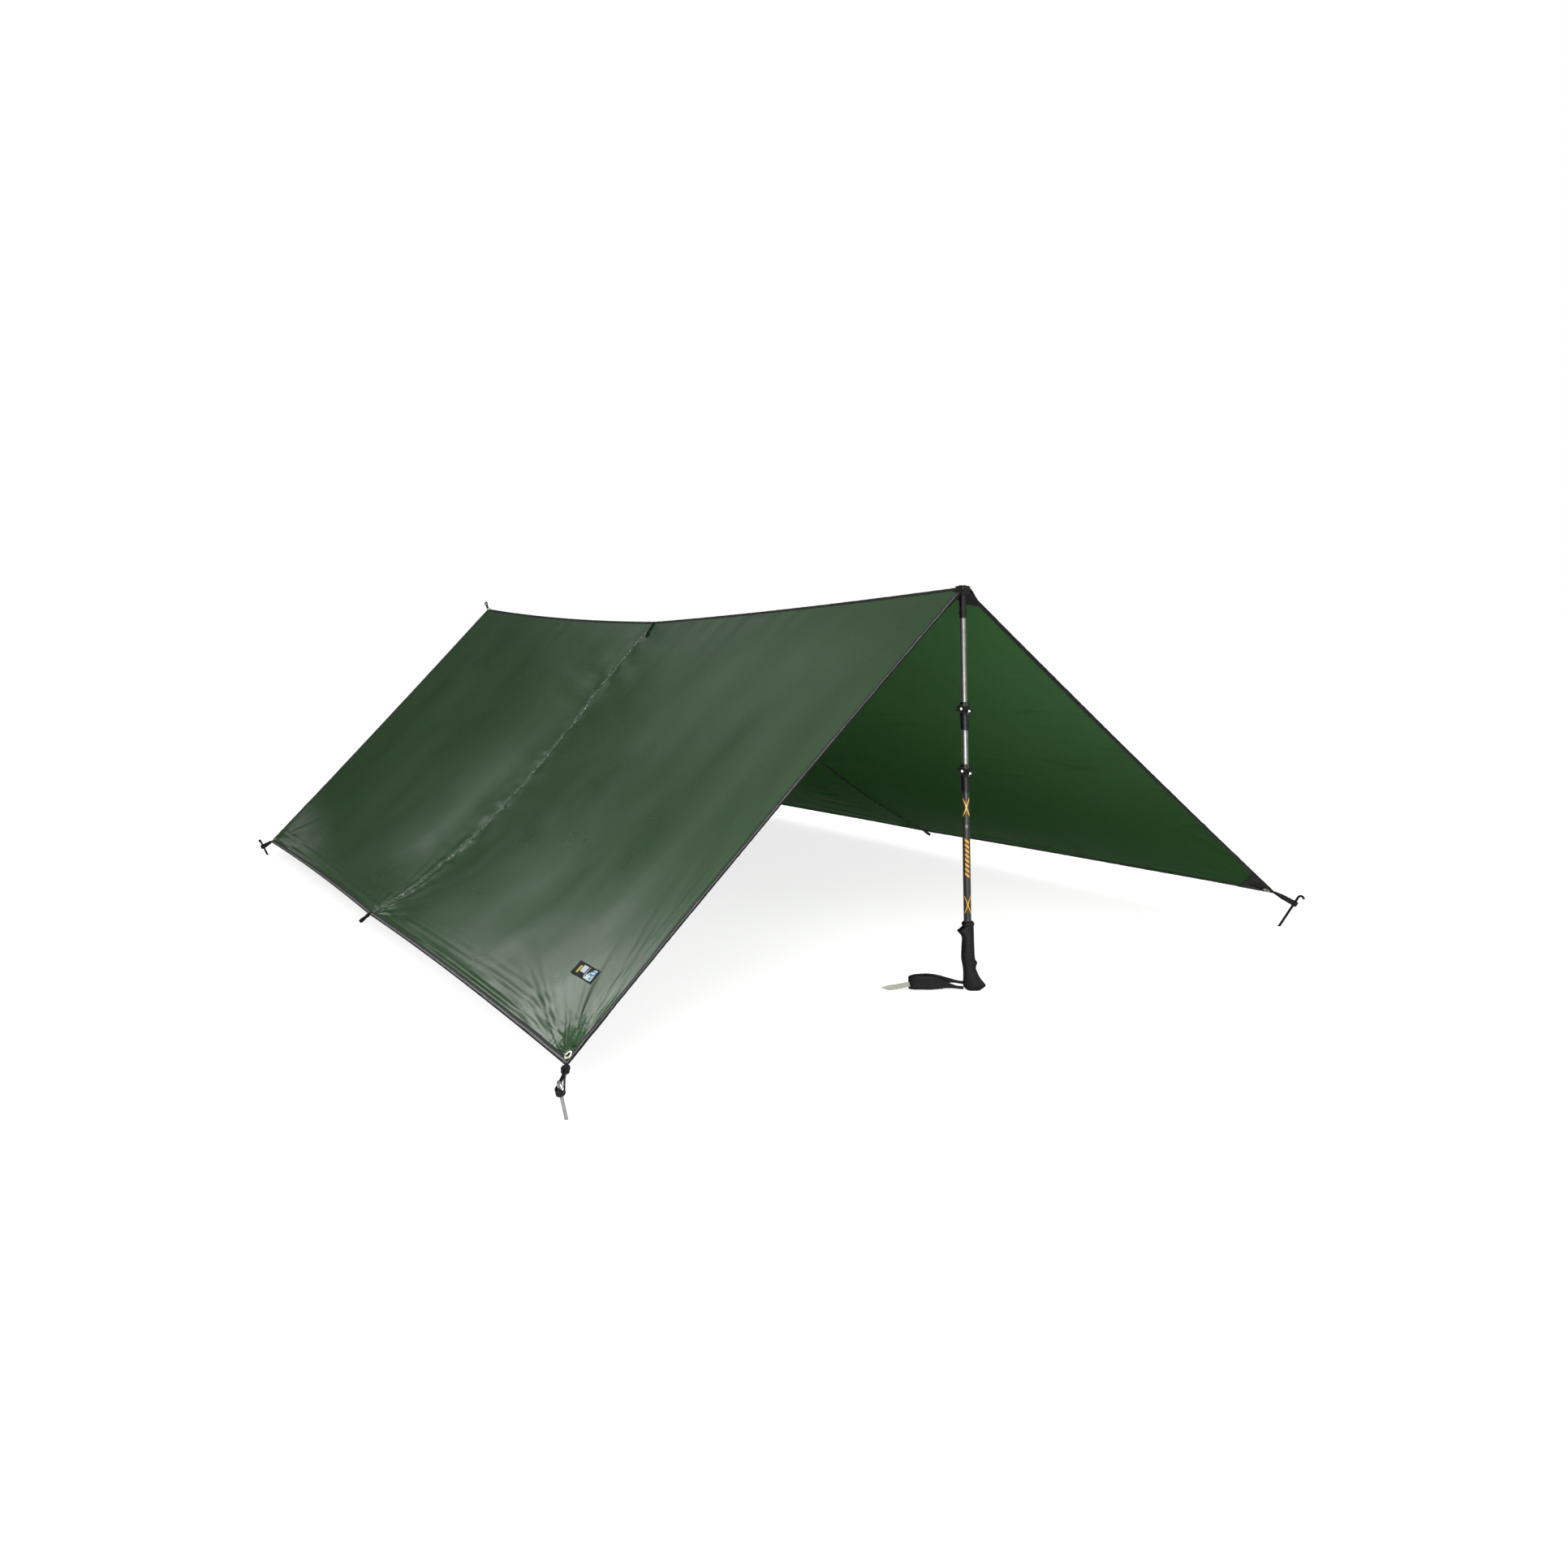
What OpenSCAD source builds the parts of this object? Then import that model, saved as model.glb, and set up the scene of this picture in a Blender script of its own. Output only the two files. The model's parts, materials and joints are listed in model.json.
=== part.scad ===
// Ridge-pole tarp shelter: one square-ish tarp of two cloth widths, pitched as an
// open A-frame over two upturned trekking poles and pegged at its four corners.
// Millimetres. +Z is up, the ground is z = 0, and the ridge runs along Y.
// The origin is on the ground under the middle of the ridge. The open front faces -Y.
// "left" is the -X wing and "right" is the +X wing.

/* [Canopy] */
// Half length of the ridge, from its middle to either end
ridge_half = 1466; // [1400:1:1500]
// Height of the ridge at its front end
front_height = 947; // [930:1:960]
// Height of the ridge at its middle, over the cross seam
mid_height = 863; // [845:1:880]
// Height of the ridge at its rear end
rear_height = 914; // [900:1:925]
// Front corner: distance out from the ridge line
front_corner_x = 1087; // [1070:1:1100]
// Front corner: distance forward of the middle
front_corner_y = 1598; // [1580:1:1610]
// Front corner: height above the ground
front_corner_z = 95; // [90:1:100]
// Middle of the side hem: distance out from the ridge line
mid_hem_x = 1028; // [1015:1:1040]
// Middle of the side hem: distance forward of the middle
mid_hem_y = 184; // [170:1:200]
// Middle of the side hem: height above the ground
mid_hem_z = 73; // [65:1:80]
// Rear corner: distance out from the ridge line
rear_corner_x = 980; // [965:1:995]
// Rear corner: distance behind the middle
rear_corner_y = 1252; // [1240:1:1265]
// Rear corner: height above the ground
rear_corner_z = 50; // [46:1:60]
// Thickness that stands for the cloth
cloth = 0.6; // [0.6:0.1:0.8]
// Droop of the front half of the ridge below a straight line
ridge_sag_front = 6; // [0:1:10]
// Droop of the rear half of the ridge below a straight line
ridge_sag_rear = 13; // [0:1:20]
// Inward sag of the left cross seam
seam_sag_left = 65; // [30:1:70]
// Inward sag of the right cross seam
seam_sag_right = 34; // [20:1:70]
// Inward curve of the front edges
front_edge_curve = 9; // [0:1:15]
// Inward curve of the rear edges
rear_edge_curve = 12; // [0:1:15]
// Inward curve of the side hems
hem_curve = 7; // [0:1:10]

/* [Tapes and bindings] */
// Width of the binding round the cloth's edges
binding_w = 13; // [11:1:14]
// Half width of the cross seam tape
seam_tape_half = 11; // [8:1:13]
// Width of each arm of the ridge tape
ridge_tape_arm = 12; // [10:1:13]
// Leg of the triangular corner patches
patch_leg = 92; // [80:1:100]

/* [Eyelets, loops and pegs] */
// Radius of the eyelet holes
eyelet_r = 5.25; // [5:0.05:5.5]
// Outer radius of the eyelet flanges
eyelet_flange_r = 9.25; // [9:0.05:9.5]
// Distance of each corner eyelet from the two edges
eyelet_inset = 16; // [15.5:0.5:20]
// Length of the front corner loops
front_loop_len = 62; // [55:1:66]
// Length of the rear corner loops
rear_loop_len = 46; // [42:1:55]
// Width of the corner loops' webbing
webbing_w = 14; // [12:1:15]
// Slope of the corner loops below level, degrees
loop_slope = 28; // [25:1:30]
// Radius of the peg's rod
peg_r = 3.5; // [3:0.1:4]
// Length of the peg's rod below its loop
peg_len = 165; // [150:5:200]

/* [Poles] */
// Outer radius of the lower (tip) tube
lower_tube_r = 7; // [6.5:0.1:7]
// Outer radius of the middle tube
middle_tube_r = 8; // [8:0.1:8.2]
// Outer radius of the upper (grip) tube
upper_tube_r = 9; // [9:0.1:9.2]
// Running gap between telescoping tubes, on the radius
tube_gap = 0.07; // [0.05:0.01:0.09]
// Top of the clamp on the middle tube, above the ground
lower_clamp_top = 685; // [680:1:690]
// Top of the clamp on the upper tube, above the ground
upper_clamp_top = 540; // [536:1:545]
// Top of the hand grip, above the ground
grip_top = 166; // [164:1:170]
// Offset of the front pole's foot to the left of its tip
lean_x = 6; // [0:1:10]
// Offset of the front pole's foot forward of its tip
lean_y = 43.5; // [38:0.5:46]
// Turn of the grips and clamps about the pole
pole_turn = -35; // [-60:5:0]

/* [Hidden] */

left_green = [0.24, 0.33, 0.24];
right_green = [0.17, 0.27, 0.16];
rear_shade = 0.8;  // the rear panels are this much darker
black = [0.05, 0.05, 0.05];
lever_black = [0.08, 0.08, 0.08];
tube_black = [0.12, 0.12, 0.12];
left_trim_grey = [0.20, 0.20, 0.20];
silver = [0.72, 0.73, 0.74];

// Values of "side" and "end"
left = -1;
right = 1;
front = -1;
rear = 1;

// ---- helpers --------------------------------------------------------------

function lerp(start, stop, share) = start * (1 - share) + stop * share;
function unit(vector) = vector / norm(vector);
// The two triangles of a four-cornered face
function halves(a, b, c, d) = [[a, b, c], [a, c, d]];
function flipped(faces) = [for (face = faces) [face[2], face[1], face[0]]];
function shifted(faces, count) = [for (face = faces) face + [count, count, count]];

// Puts its children at a point with their +Z along a normal that isn't vertical
module aim(point, normal) {
    translate(point) rotate(a = acos(normal[2]), v = [-normal[1], normal[0], 0]) children();
}

// ---- canopy surface -------------------------------------------------------
// Each wing has a front and a rear quarter. A quarter is a blended patch between
// four curves: ridge, cross seam, outer edge and hem. "along" runs 0 to 1 from the
// cross seam to the end, and "down" runs 0 to 1 from the ridge to the hem.

// Rises from 0 to 1 and back, highest halfway
function arch(share) = 4 * share * (1 - share);
// The same, but highest at low_arch_peak
low_arch_power = 1.8;
low_arch_peak = 0.643;
function low_bump(share) = pow(share, low_arch_power) * (1 - share);
function low_arch(share) = low_bump(share) / low_bump(low_arch_peak);

mid_ridge = [0, 0, mid_height];
function ridge_end(end) = [0, end * ridge_half, end == front ? front_height : rear_height];
function mid_hem(side) = [side * mid_hem_x, -mid_hem_y, mid_hem_z];
function corner(side, end) = end == front
    ? [side * front_corner_x, -front_corner_y, front_corner_z]
    : [side * rear_corner_x, rear_corner_y, rear_corner_z];
// Outward normal of a wing's mean plane
function wing_out(side) = unit([side * (mid_height - mid_hem_z), 0, mid_hem_x]);

function on_ridge(end, along) = lerp(mid_ridge, ridge_end(end), along)
    - [0, 0, end == front ? ridge_sag_front : ridge_sag_rear] * arch(along);
function on_seam(side, down) = lerp(mid_ridge, mid_hem(side), down)
    - wing_out(side) * (side == left ? seam_sag_left : seam_sag_right) * low_arch(down);
function on_edge(side, end, down) = lerp(ridge_end(end), corner(side, end), down)
    + [0, end == front ? front_edge_curve : -rear_edge_curve, 0] * arch(down);
function on_hem(side, end, along) = lerp(mid_hem(side), corner(side, end), along)
    + unit(mid_ridge - mid_hem(side)) * hem_curve * arch(along);
function sheet(side, end, along, down) =
    lerp(on_ridge(end, along), on_hem(side, end, along), down)
    + lerp(on_seam(side, down), on_edge(side, end, down), along)
    - lerp(lerp(mid_ridge, ridge_end(end), along),
           lerp(mid_hem(side), corner(side, end), along), down);
// Outward normal of the sheet itself
normal_step = 0.004;
function sheet_out(side, end, along, down) =
    let (step = normal_step,
         run = sheet(side, end, along + step, down) - sheet(side, end, along - step, down),
         fall = sheet(side, end, along, down + step) - sheet(side, end, along, down - step),
         normal = unit(cross(run, fall)))
    normal[2] < 0 ? -normal : normal;

// Lengths on the cloth as shares of a quarter, measured along and down
wing_len = 1380;
function share_along(length) = length / ridge_half;
function share_down(length) = length / wing_len;

edge_gap = 0.5;                 // between panel and binding, and at the cross seam
start_down = share_down(18);    // where panels and bindings start below the ridge
binding_along = 1 - share_along(binding_w);
binding_down = 1 - share_down(binding_w);
panel_along = binding_along - share_along(edge_gap);
panel_down = binding_down - share_down(edge_gap);
cells_along = 9;
cells_down = 10;

// ---- corner eyelet places -------------------------------------------------

barrel_r = 6.5;
barrel_hole_r = 6.8;
eyelet_along = 1 - share_along(eyelet_inset);
eyelet_down = 1 - share_down(eyelet_inset);
function eyelet_out(side, end) = sheet_out(side, end, eyelet_along, eyelet_down);
module at_eyelet(side, end) {
    aim(sheet(side, end, eyelet_along, eyelet_down), eyelet_out(side, end)) children();
}
module eyelet_hole(side, end, depth = 16) {
    at_eyelet(side, end) cylinder(h = depth, r = barrel_hole_r, center = true, $fn = 40);
}

// ---- panels, label, tapes and bindings ------------------------------------

// A closed slab over a rectangle of a quarter, given by its [start, stop] along and
// down, between the heights low and high along the wing's outward normal.
module slab(side, end, along, down, low, high, count_along, count_down) {
    out = wing_out(side);
    base = [for (i = [0:count_along], j = [0:count_down])
        sheet(side, end, lerp(along[0], along[1], i / count_along),
              lerp(down[0], down[1], j / count_down))];
    count = len(base);
    points = concat([for (point = base) point + out * high],
                    [for (point = base) point + out * low]);
    function id(i, j) = i * (count_down + 1) + j;
    top = [for (i = [0:count_along - 1], j = [0:count_down - 1])
        each halves(id(i, j), id(i + 1, j), id(i + 1, j + 1), id(i, j + 1))];
    rim = concat(
        [for (i = [0:count_along - 1]) id(i, 0)],
        [for (j = [0:count_down - 1]) id(count_along, j)],
        [for (i = [count_along:-1:1]) id(i, count_down)],
        [for (j = [count_down:-1:1]) id(0, j)]);
    walls = [for (i = [0:len(rim) - 1])
        let (this = rim[i], next = rim[(i + 1) % len(rim)])
        each halves(next, this, this + count, next + count)];
    faces = concat(top, shifted(flipped(top), count), walls);
    polyhedron(points = points, faces = side * end < 0 ? flipped(faces) : faces, convexity = 6);
}

// A closed band between two matching lines of points, from low to high along out.
module band(first, second, out, low, high, flip) {
    count = len(first);
    points = concat([for (point = first) point + out * high],
                    [for (point = second) point + out * high],
                    [for (point = second) point + out * low],
                    [for (point = first) point + out * low]);
    walls = [for (i = [0:count - 2], j = [0:3])
        let (this = j * count + i, next = (j + 1) % 4 * count + i)
        each halves(this, this + 1, next + 1, next)];
    faces = concat(walls,
        halves(0, count, 2 * count, 3 * count),
        halves(count - 1, 4 * count - 1, 3 * count - 1, 2 * count - 1));
    polyhedron(points = points, faces = flip ? flipped(faces) : faces, convexity = 6);
}

module panel(side, end) {
    difference() {
        slab(side, end, [share_along(edge_gap), panel_along], [start_down, panel_down],
             -cloth / 2, cloth / 2, cells_along, cells_down);
        eyelet_hole(side, end);
    }
}
module left_front_panel() { color(left_green) panel(left, front); }
module left_rear_panel() { color(left_green * rear_shade) panel(left, rear); }
module right_front_panel() { color(right_green) panel(right, front); }
module right_rear_panel() { color(right_green * rear_shade) panel(right, rear); }

// Small sewn label on the outer face of the left front panel
label_along = [0.832, 0.904];
label_down = [0.869, 0.893];
module woven_label() {
    color(black) slab(left, front, label_along, label_down, 0.7, 1.3, 2, 2);
}

// Tape on the inner face of the seam that joins the two cloth widths
module cross_seam_tape(side) {
    steps = 18;
    half_width = [0, seam_tape_half, 0];
    line = [for (i = [0:steps]) on_seam(side, lerp(start_down, panel_down, i / steps))];
    band([for (point = line) point - half_width], [for (point = line) point + half_width],
         wing_out(side), -2.2, -1.4, side == right);
}
module left_cross_seam_tape() { color(left_trim_grey) cross_seam_tape(left); }
module right_cross_seam_tape() { color(black) cross_seam_tape(right); }

// Line down the front edge, back along the hem and up the rear edge of one wing,
// at the given shares along and down
function rim_line(side, along, down) =
    let (downs = [for (j = [0:cells_down]) lerp(start_down, down, j / cells_down)])
    concat(
        [for (j = [0:cells_down]) sheet(side, front, along, downs[j])],
        [for (i = [cells_along - 1:-1:1]) sheet(side, front, along * i / cells_along, down)],
        [for (i = [0:cells_along - 1]) sheet(side, rear, along * i / cells_along, down)],
        [for (j = [cells_down:-1:0]) sheet(side, rear, along, downs[j])]);

// Binding along front edge, side hem and rear edge of one wing, in one length
module edge_binding(side) {
    half_thick = 1.1;
    difference() {
        band(rim_line(side, 1, 1), rim_line(side, binding_along, binding_down),
             wing_out(side), -half_thick, half_thick, side == left);
        for (end = [front, rear]) eyelet_hole(side, end);
    }
}
module left_edge_binding() { color(left_trim_grey) edge_binding(left); }
module right_edge_binding() { color(black) edge_binding(right); }

// Triangular reinforcement on the inner face of a corner
module corner_patch(side, end) {
    inset = 2;  // from the cloth's edges
    low = -3.2;
    high = -2;
    out = eyelet_out(side, end);
    // Point at these distances from the outer edge and from the hem
    function cloth_point(from_edge, from_hem) =
        sheet(side, end, 1 - share_along(from_edge), 1 - share_down(from_hem));
    triangle = [cloth_point(inset, inset), cloth_point(patch_leg, inset),
                cloth_point(inset, patch_leg)];
    points = concat([for (point = triangle) point + out * high],
                    [for (point = triangle) point + out * low]);
    faces = concat([[0, 1, 2], [5, 4, 3]],
                   halves(1, 0, 3, 4), halves(2, 1, 4, 5), halves(0, 2, 5, 3));
    difference() {
        polyhedron(points = points, faces = side * end < 0 ? faces : flipped(faces));
        eyelet_hole(side, end, 20);
    }
}
module front_left_corner_patch() { color(black) corner_patch(left, front); }
module rear_left_corner_patch() { color(black) corner_patch(left, rear); }
module front_right_corner_patch() { color(black) corner_patch(right, front); }
module rear_right_corner_patch() { color(black) corner_patch(right, rear); }

// ---- ridge tape and patches -----------------------------------------------

ridge_eyelet_inset = 7.5;
front_tip = [0, -ridge_half + ridge_eyelet_inset, front_height];
rear_tip = [0, ridge_half - ridge_eyelet_inset, rear_height];
strip_slope = 39.5;  // fall of a folded strip's arms below level, degrees

// Strip folded over the ridge. arm is its width down each side, and drop is how
// far its fold lies below the ridge line.
module ridge_strip(start_y, stop_y, arm, drop, thick, steps) {
    arm_x = arm * cos(strip_slope);
    arm_z = -drop - arm * sin(strip_slope);
    thick_x = thick * sin(strip_slope);
    thick_z = thick * cos(strip_slope);
    section = [
        [0, 0, -drop], [arm_x, 0, arm_z],
        [arm_x - thick_x, 0, arm_z - thick_z], [0, 0, -drop - thick / cos(strip_slope)],
        [-arm_x + thick_x, 0, arm_z - thick_z], [-arm_x, 0, arm_z]];
    sides = len(section);
    points = [for (i = [0:steps])
        let (y = lerp(start_y, stop_y, i / steps),
             centre = on_ridge(y < 0 ? front : rear, abs(y) / ridge_half))
        each [for (point = section) centre + point]];
    walls = [for (i = [0:steps - 1], j = [0:sides - 1])
        let (this = i * sides + j, next = i * sides + (j + 1) % sides)
        each halves(this, next, next + sides, this + sides)];
    cap = [[0, 5, 3], [5, 4, 3], [0, 3, 1], [3, 2, 1]];
    polyhedron(points = points,
               faces = concat(walls, cap, shifted(flipped(cap), steps * sides)), convexity = 6);
}

module tip_clearance(radius) {
    for (tip = [front_tip, rear_tip])
        translate(tip) cylinder(h = 60, r = radius, center = true, $fn = 40);
}

module ridge_tape() {
    end_gap = 0.5;
    color(black) difference() {
        ridge_strip(-ridge_half + end_gap, ridge_half - end_gap, ridge_tape_arm, -0.5, 1, 22);
        tip_clearance(7.4);
    }
}

ridge_patch_gap = 1;     // from the end of the ridge to the patch
ridge_patch_reach = 72;  // from the end of the ridge to the patch's far edge
module ridge_patch(start_y, stop_y, arm, drop) {
    difference() {
        ridge_strip(start_y, stop_y, arm, drop, 1.2, 1);
        tip_clearance(9);
    }
}
module front_ridge_patch() {
    color(black) ridge_patch(-ridge_half + ridge_patch_gap, -ridge_half + ridge_patch_reach,
                             arm = 44, drop = 3.6);
}
module rear_ridge_patch() {
    color(black) ridge_patch(ridge_half - ridge_patch_reach, ridge_half - ridge_patch_gap,
                             arm = 34, drop = 5.6);
}

// ---- eyelets --------------------------------------------------------------
// Metal barrels with turned flanges. Profile points are [radius, height].

flange_slope_r = eyelet_flange_r - 0.6;
flange_root_r = eyelet_flange_r - 0.5;
bore_lip_r = eyelet_r + 0.6;

module ridge_eyelets() {
    color(silver) for (tip = [front_tip, rear_tip]) translate(tip) rotate_extrude($fn = 48)
        polygon([
            [eyelet_r, -4], [barrel_r, -4], [barrel_r, 4.2], [flange_root_r, 4.2],
            [eyelet_flange_r, 4.7], [flange_slope_r, 5.4], [bore_lip_r, 5.6], [eyelet_r, 5]]);
}

// Corner eyelets have a flange on both faces
module corner_eyelet(side, end) {
    at_eyelet(side, end) rotate_extrude($fn = 48)
        polygon([
            [eyelet_r, -4.6], [bore_lip_r, -5.2], [flange_slope_r, -4.9],
            [eyelet_flange_r, -4.3], [flange_root_r, -3.8], [barrel_r, -3.8],
            [barrel_r, 1.7], [flange_root_r, 1.7], [eyelet_flange_r, 2.2],
            [flange_slope_r, 2.9], [bore_lip_r, 3.1], [eyelet_r, 2.4]]);
}
module front_left_eyelet() { color(silver) corner_eyelet(left, front); }
module rear_left_eyelet() { color(silver) corner_eyelet(left, rear); }
module front_right_eyelet() { color(silver) corner_eyelet(right, front); }
module rear_right_eyelet() { color(silver) corner_eyelet(right, rear); }

// ---- webbing loops --------------------------------------------------------

// Outline of a loop that leaves x = 0 and widens from a round neck to a round eye
module loop_outline(length, eye_r, neck_r) {
    eye_x = length - eye_r;
    taper = asin((eye_r - neck_r) / (eye_x - neck_r));
    // The straight sides end just inside the circles
    neck = neck_r * 0.96 * [sin(taper), cos(taper)];
    eye = eye_r * 0.98 * [sin(taper), cos(taper)];
    translate([neck_r, 0]) circle(r = neck_r, $fn = 32);
    translate([eye_x, 0]) circle(r = eye_r, $fn = 48);
    polygon([[neck_r - neck[0], -neck[1]], [eye_x - eye[0], -eye[1]],
             [eye_x - eye[0], eye[1]], [neck_r - neck[0], neck[1]]]);
}
module webbing_loop(length, eye_r, width, thick) {
    closed = 0.35;  // share of the length before the opening starts
    linear_extrude(height = width, center = true) difference() {
        loop_outline(length, eye_r, thick + 0.5);
        translate([length * closed, 0])
            loop_outline(length * (1 - closed) - thick, eye_r - thick, 0.8);
    }
}

// Frame of a corner loop: +X runs out along the diagonal and down, +Z leans out
module corner_frame(side, end) {
    translate(corner(side, end)) rotate([0, 0, atan2(end * 0.785, side * 0.62)])
        rotate([0, loop_slope, 0]) children();
}
corner_loop_start = 4.5;  // from the corner of the cloth to the loop's neck
corner_eye_r = 9.2;
function loop_len(end) = end == front ? front_loop_len : rear_loop_len;
module corner_loop(side, end) {
    corner_frame(side, end) translate([corner_loop_start, 0, 0])
        webbing_loop(loop_len(end), corner_eye_r, webbing_w, 2);
}
module front_left_corner_loop() { color(black) corner_loop(left, front); }
module rear_left_corner_loop() { color(black) corner_loop(left, rear); }
module front_right_corner_loop() { color(black) corner_loop(right, front); }
module rear_right_corner_loop() { color(black) corner_loop(right, rear); }

// Webbing lying flat over the peak, under the eyelet's flange
module front_ridge_loop() {
    back = 2;  // centre of the webbing behind the eyelet
    color(black) translate(front_tip + [0, back, 1.8]) difference() {
        linear_extrude(height = 2) union() {
            square([28, 20], center = true);
            translate([0, 3]) circle(r = 14, $fn = 48);
            square([22, 30], center = true);
        }
        translate([0, -back, -1]) cylinder(h = 5, r = barrel_hole_r, $fn = 48);
    }
}

small_loop_thick = 1.6;
// Loop rising backwards from the rear peak
module rear_ridge_loop() {
    color(black) translate(rear_tip + [0, 10.5, 6]) rotate([0, 0, 90]) rotate([0, -52, 0])
        translate([2, 0, 0]) webbing_loop(30, 6, 8, small_loop_thick);
}
// Short loop over the left wing at the middle of the ridge
module mid_ridge_loop() {
    color(black) translate(mid_ridge + [-12, -2, 1.2]) rotate([0, -38, 0])
        rotate([0, 0, 180]) rotate([90, 0, 0])
        translate([0, 7.5, 0]) webbing_loop(56, 5, 7, small_loop_thick);
}
// Loop sloping out and down from the middle of a side hem
module mid_hem_loop(side) {
    color(black) translate(mid_hem(side)) rotate([0, 0, side == right ? 0 : 180])
        rotate([0, 34, 0]) translate([3, 0, 0]) webbing_loop(32, 6, 8, small_loop_thick);
}
module left_mid_hem_loop() { mid_hem_loop(left); }
module right_mid_hem_loop() { mid_hem_loop(right); }

// ---- pegs -----------------------------------------------------------------

// Hook-topped rod peg, through the eye of its loop and across the pull
module peg(side, end) {
    hook_r = 8.5;
    hook_turn = 35;
    point_len = 12;
    top = webbing_w / 2 + 13;
    corner_frame(side, end)
        translate([corner_loop_start + loop_len(end) - corner_eye_r, 0, 0])
        rotate([0, 0, side * end * hook_turn]) {
            translate([0, 0, -peg_len]) cylinder(h = peg_len + top, r = peg_r, $fn = 32);
            translate([0, 0, -peg_len - point_len]) rotate_extrude($fn = 32)
                polygon([[0, 0], [0.8, 0], [peg_r, point_len], [0, point_len]]);
            translate([hook_r, 0, top]) rotate([90, 0, 0]) rotate([0, 0, 25])
                rotate_extrude(angle = 162, $fn = 64)
                translate([hook_r, 0]) circle(r = peg_r - 0.25, $fn = 32);
        }
}
module front_left_peg() { color(silver) peg(left, front); }
module rear_left_peg() { color(silver) peg(left, rear); }
module front_right_peg() { color(silver) peg(right, front); }
module rear_right_peg() { color(silver) peg(right, rear); }

// ---- poles ----------------------------------------------------------------
// A pole stands on its grip. In its own frame the axis is +Z and z = 0 is the foot.

// From foot to tip of a pole whose tip is at this height
function pole_vector(height) = [lean_x, lean_y, front_height] * (height / front_height);
front_foot = front_tip - pole_vector(front_height);
rear_foot = rear_tip - pole_vector(rear_height);
front_len = norm(pole_vector(front_height));
rear_len = norm(pole_vector(rear_height));
module pole_frame(foot) {
    axis = unit(pole_vector(front_height));
    translate(foot) rotate([-asin(axis[1]), atan2(axis[0], axis[2]), 0])
        rotate([0, 0, pole_turn]) children();
}
module at_front() { pole_frame(front_foot) children(); }
module at_rear() { pole_frame(rear_foot) children(); }

tube_stop = 34;  // from a clamp's top down to the end of its outer tube
fit_gap = 0.05;  // on the radius, round a tube fixed in another part
module tube(outer_r, inner_r, bottom, top) {
    length = top - bottom;
    translate([0, 0, bottom]) difference() {
        cylinder(h = length, r = outer_r, $fn = 64);
        translate([0, 0, -1]) cylinder(h = length + 2, r = inner_r, $fn = 64);
    }
}
module upper_tube() {
    color(tube_black)
        tube(upper_tube_r, middle_tube_r + tube_gap, 24, upper_clamp_top - tube_stop);
}
module middle_tube() {
    color(silver)
        tube(middle_tube_r, lower_tube_r + tube_gap, 190, lower_clamp_top - tube_stop);
}
module lower_tube(pole_len) {
    color(silver) tube(lower_tube_r, lower_tube_r - 1, 430, pole_len - 66);
}

// Clamps. Pivot and stud are [x, z from the clamp's top], and their axes run to -Y.
clamp_len = 66;
boss_reach = 13.2;
pivot = [-10, -15];
stud = [8.6, -21];
module along_boss(place, top) {
    translate([place[0], 0, top + place[1]]) rotate([90, 0, 0]) children();
}

// A sleeve on the outer tube, a collar round the inner tube, and two round bosses
// on the -Y face that carry the lever's pivot and its stud.
module clamp_collar(top, outer_r, inner_r) {
    shoulder = 32.5;  // where the bore narrows to the inner tube
    color(black) difference() {
        union() {
            translate([0, 0, top - clamp_len]) rotate_extrude($fn = 64)
                polygon([
                    [outer_r, 0], [outer_r + 2, 0], [outer_r + 2.4, 36], [outer_r + 3.4, 40],
                    [outer_r + 3.4, 58], [outer_r + 1.2, clamp_len], [inner_r, clamp_len],
                    [inner_r, shoulder], [outer_r, shoulder]]);
            difference() {
                union() {
                    along_boss(pivot, top) cylinder(h = boss_reach, r = 9, $fn = 48);
                    along_boss(stud, top) cylinder(h = boss_reach, r = 7.6, $fn = 48);
                }
                translate([0, 0, top - 60]) cylinder(h = 80, r = outer_r + 1, $fn = 64);
            }
        }
        // slanted bottom end
        translate([0, 0, top - clamp_len]) rotate([0, 17, 0])
            translate([-40, -40, -40]) cube([80, 80, 40]);
        for (place = [pivot, stud])
            along_boss(place, top) translate([0, 0, 10.6]) cylinder(h = 10, r = 2.03, $fn = 32);
    }
}

module clamp_lever(top) {
    reach = norm(stud - pivot);
    turn = atan2(stud[1] - pivot[1], stud[0] - pivot[0]);
    slot_half = 2.3;
    color(lever_black) translate([pivot[0], -boss_reach - 0.2, top + pivot[1]])
        rotate([90, 0, 0]) difference() {
            linear_extrude(height = 3) rotate([0, 0, turn]) difference() {
                union() {
                    circle(r = 8.6, $fn = 48);
                    translate([reach, 0]) circle(r = 7, $fn = 48);
                    polygon([[0, -7.6], [reach, -6.4], [reach, 6.4], [0, 7.6]]);
                }
                // open slot along the stud's path round the pivot
                intersection() {
                    difference() {
                        circle(r = reach + slot_half, $fn = 120);
                        circle(r = reach - slot_half, $fn = 96);
                    }
                    polygon([[0, 0], [40, 0], [40, -40]]);
                }
                translate([reach, 0]) circle(r = slot_half, $fn = 32);
            }
            translate([0, 0, -1]) cylinder(h = 5, r = 2.06, $fn = 32);
        }
}

module clamp_rivets(top) {
    shank_start = 10.8;
    shank_len = 5.8;
    color(silver) for (place = [pivot, stud])
        along_boss(place, top) {
            translate([0, 0, shank_start]) cylinder(h = shank_len, r = 2, $fn = 32);
            translate([0, 0, shank_start + shank_len]) rotate_extrude($fn = 40)
                polygon([[0, 0], [3.3, 0], [3.1, 0.9], [2.3, 1.6], [1.2, 2], [0, 2.1]]);
        }
}

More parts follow.
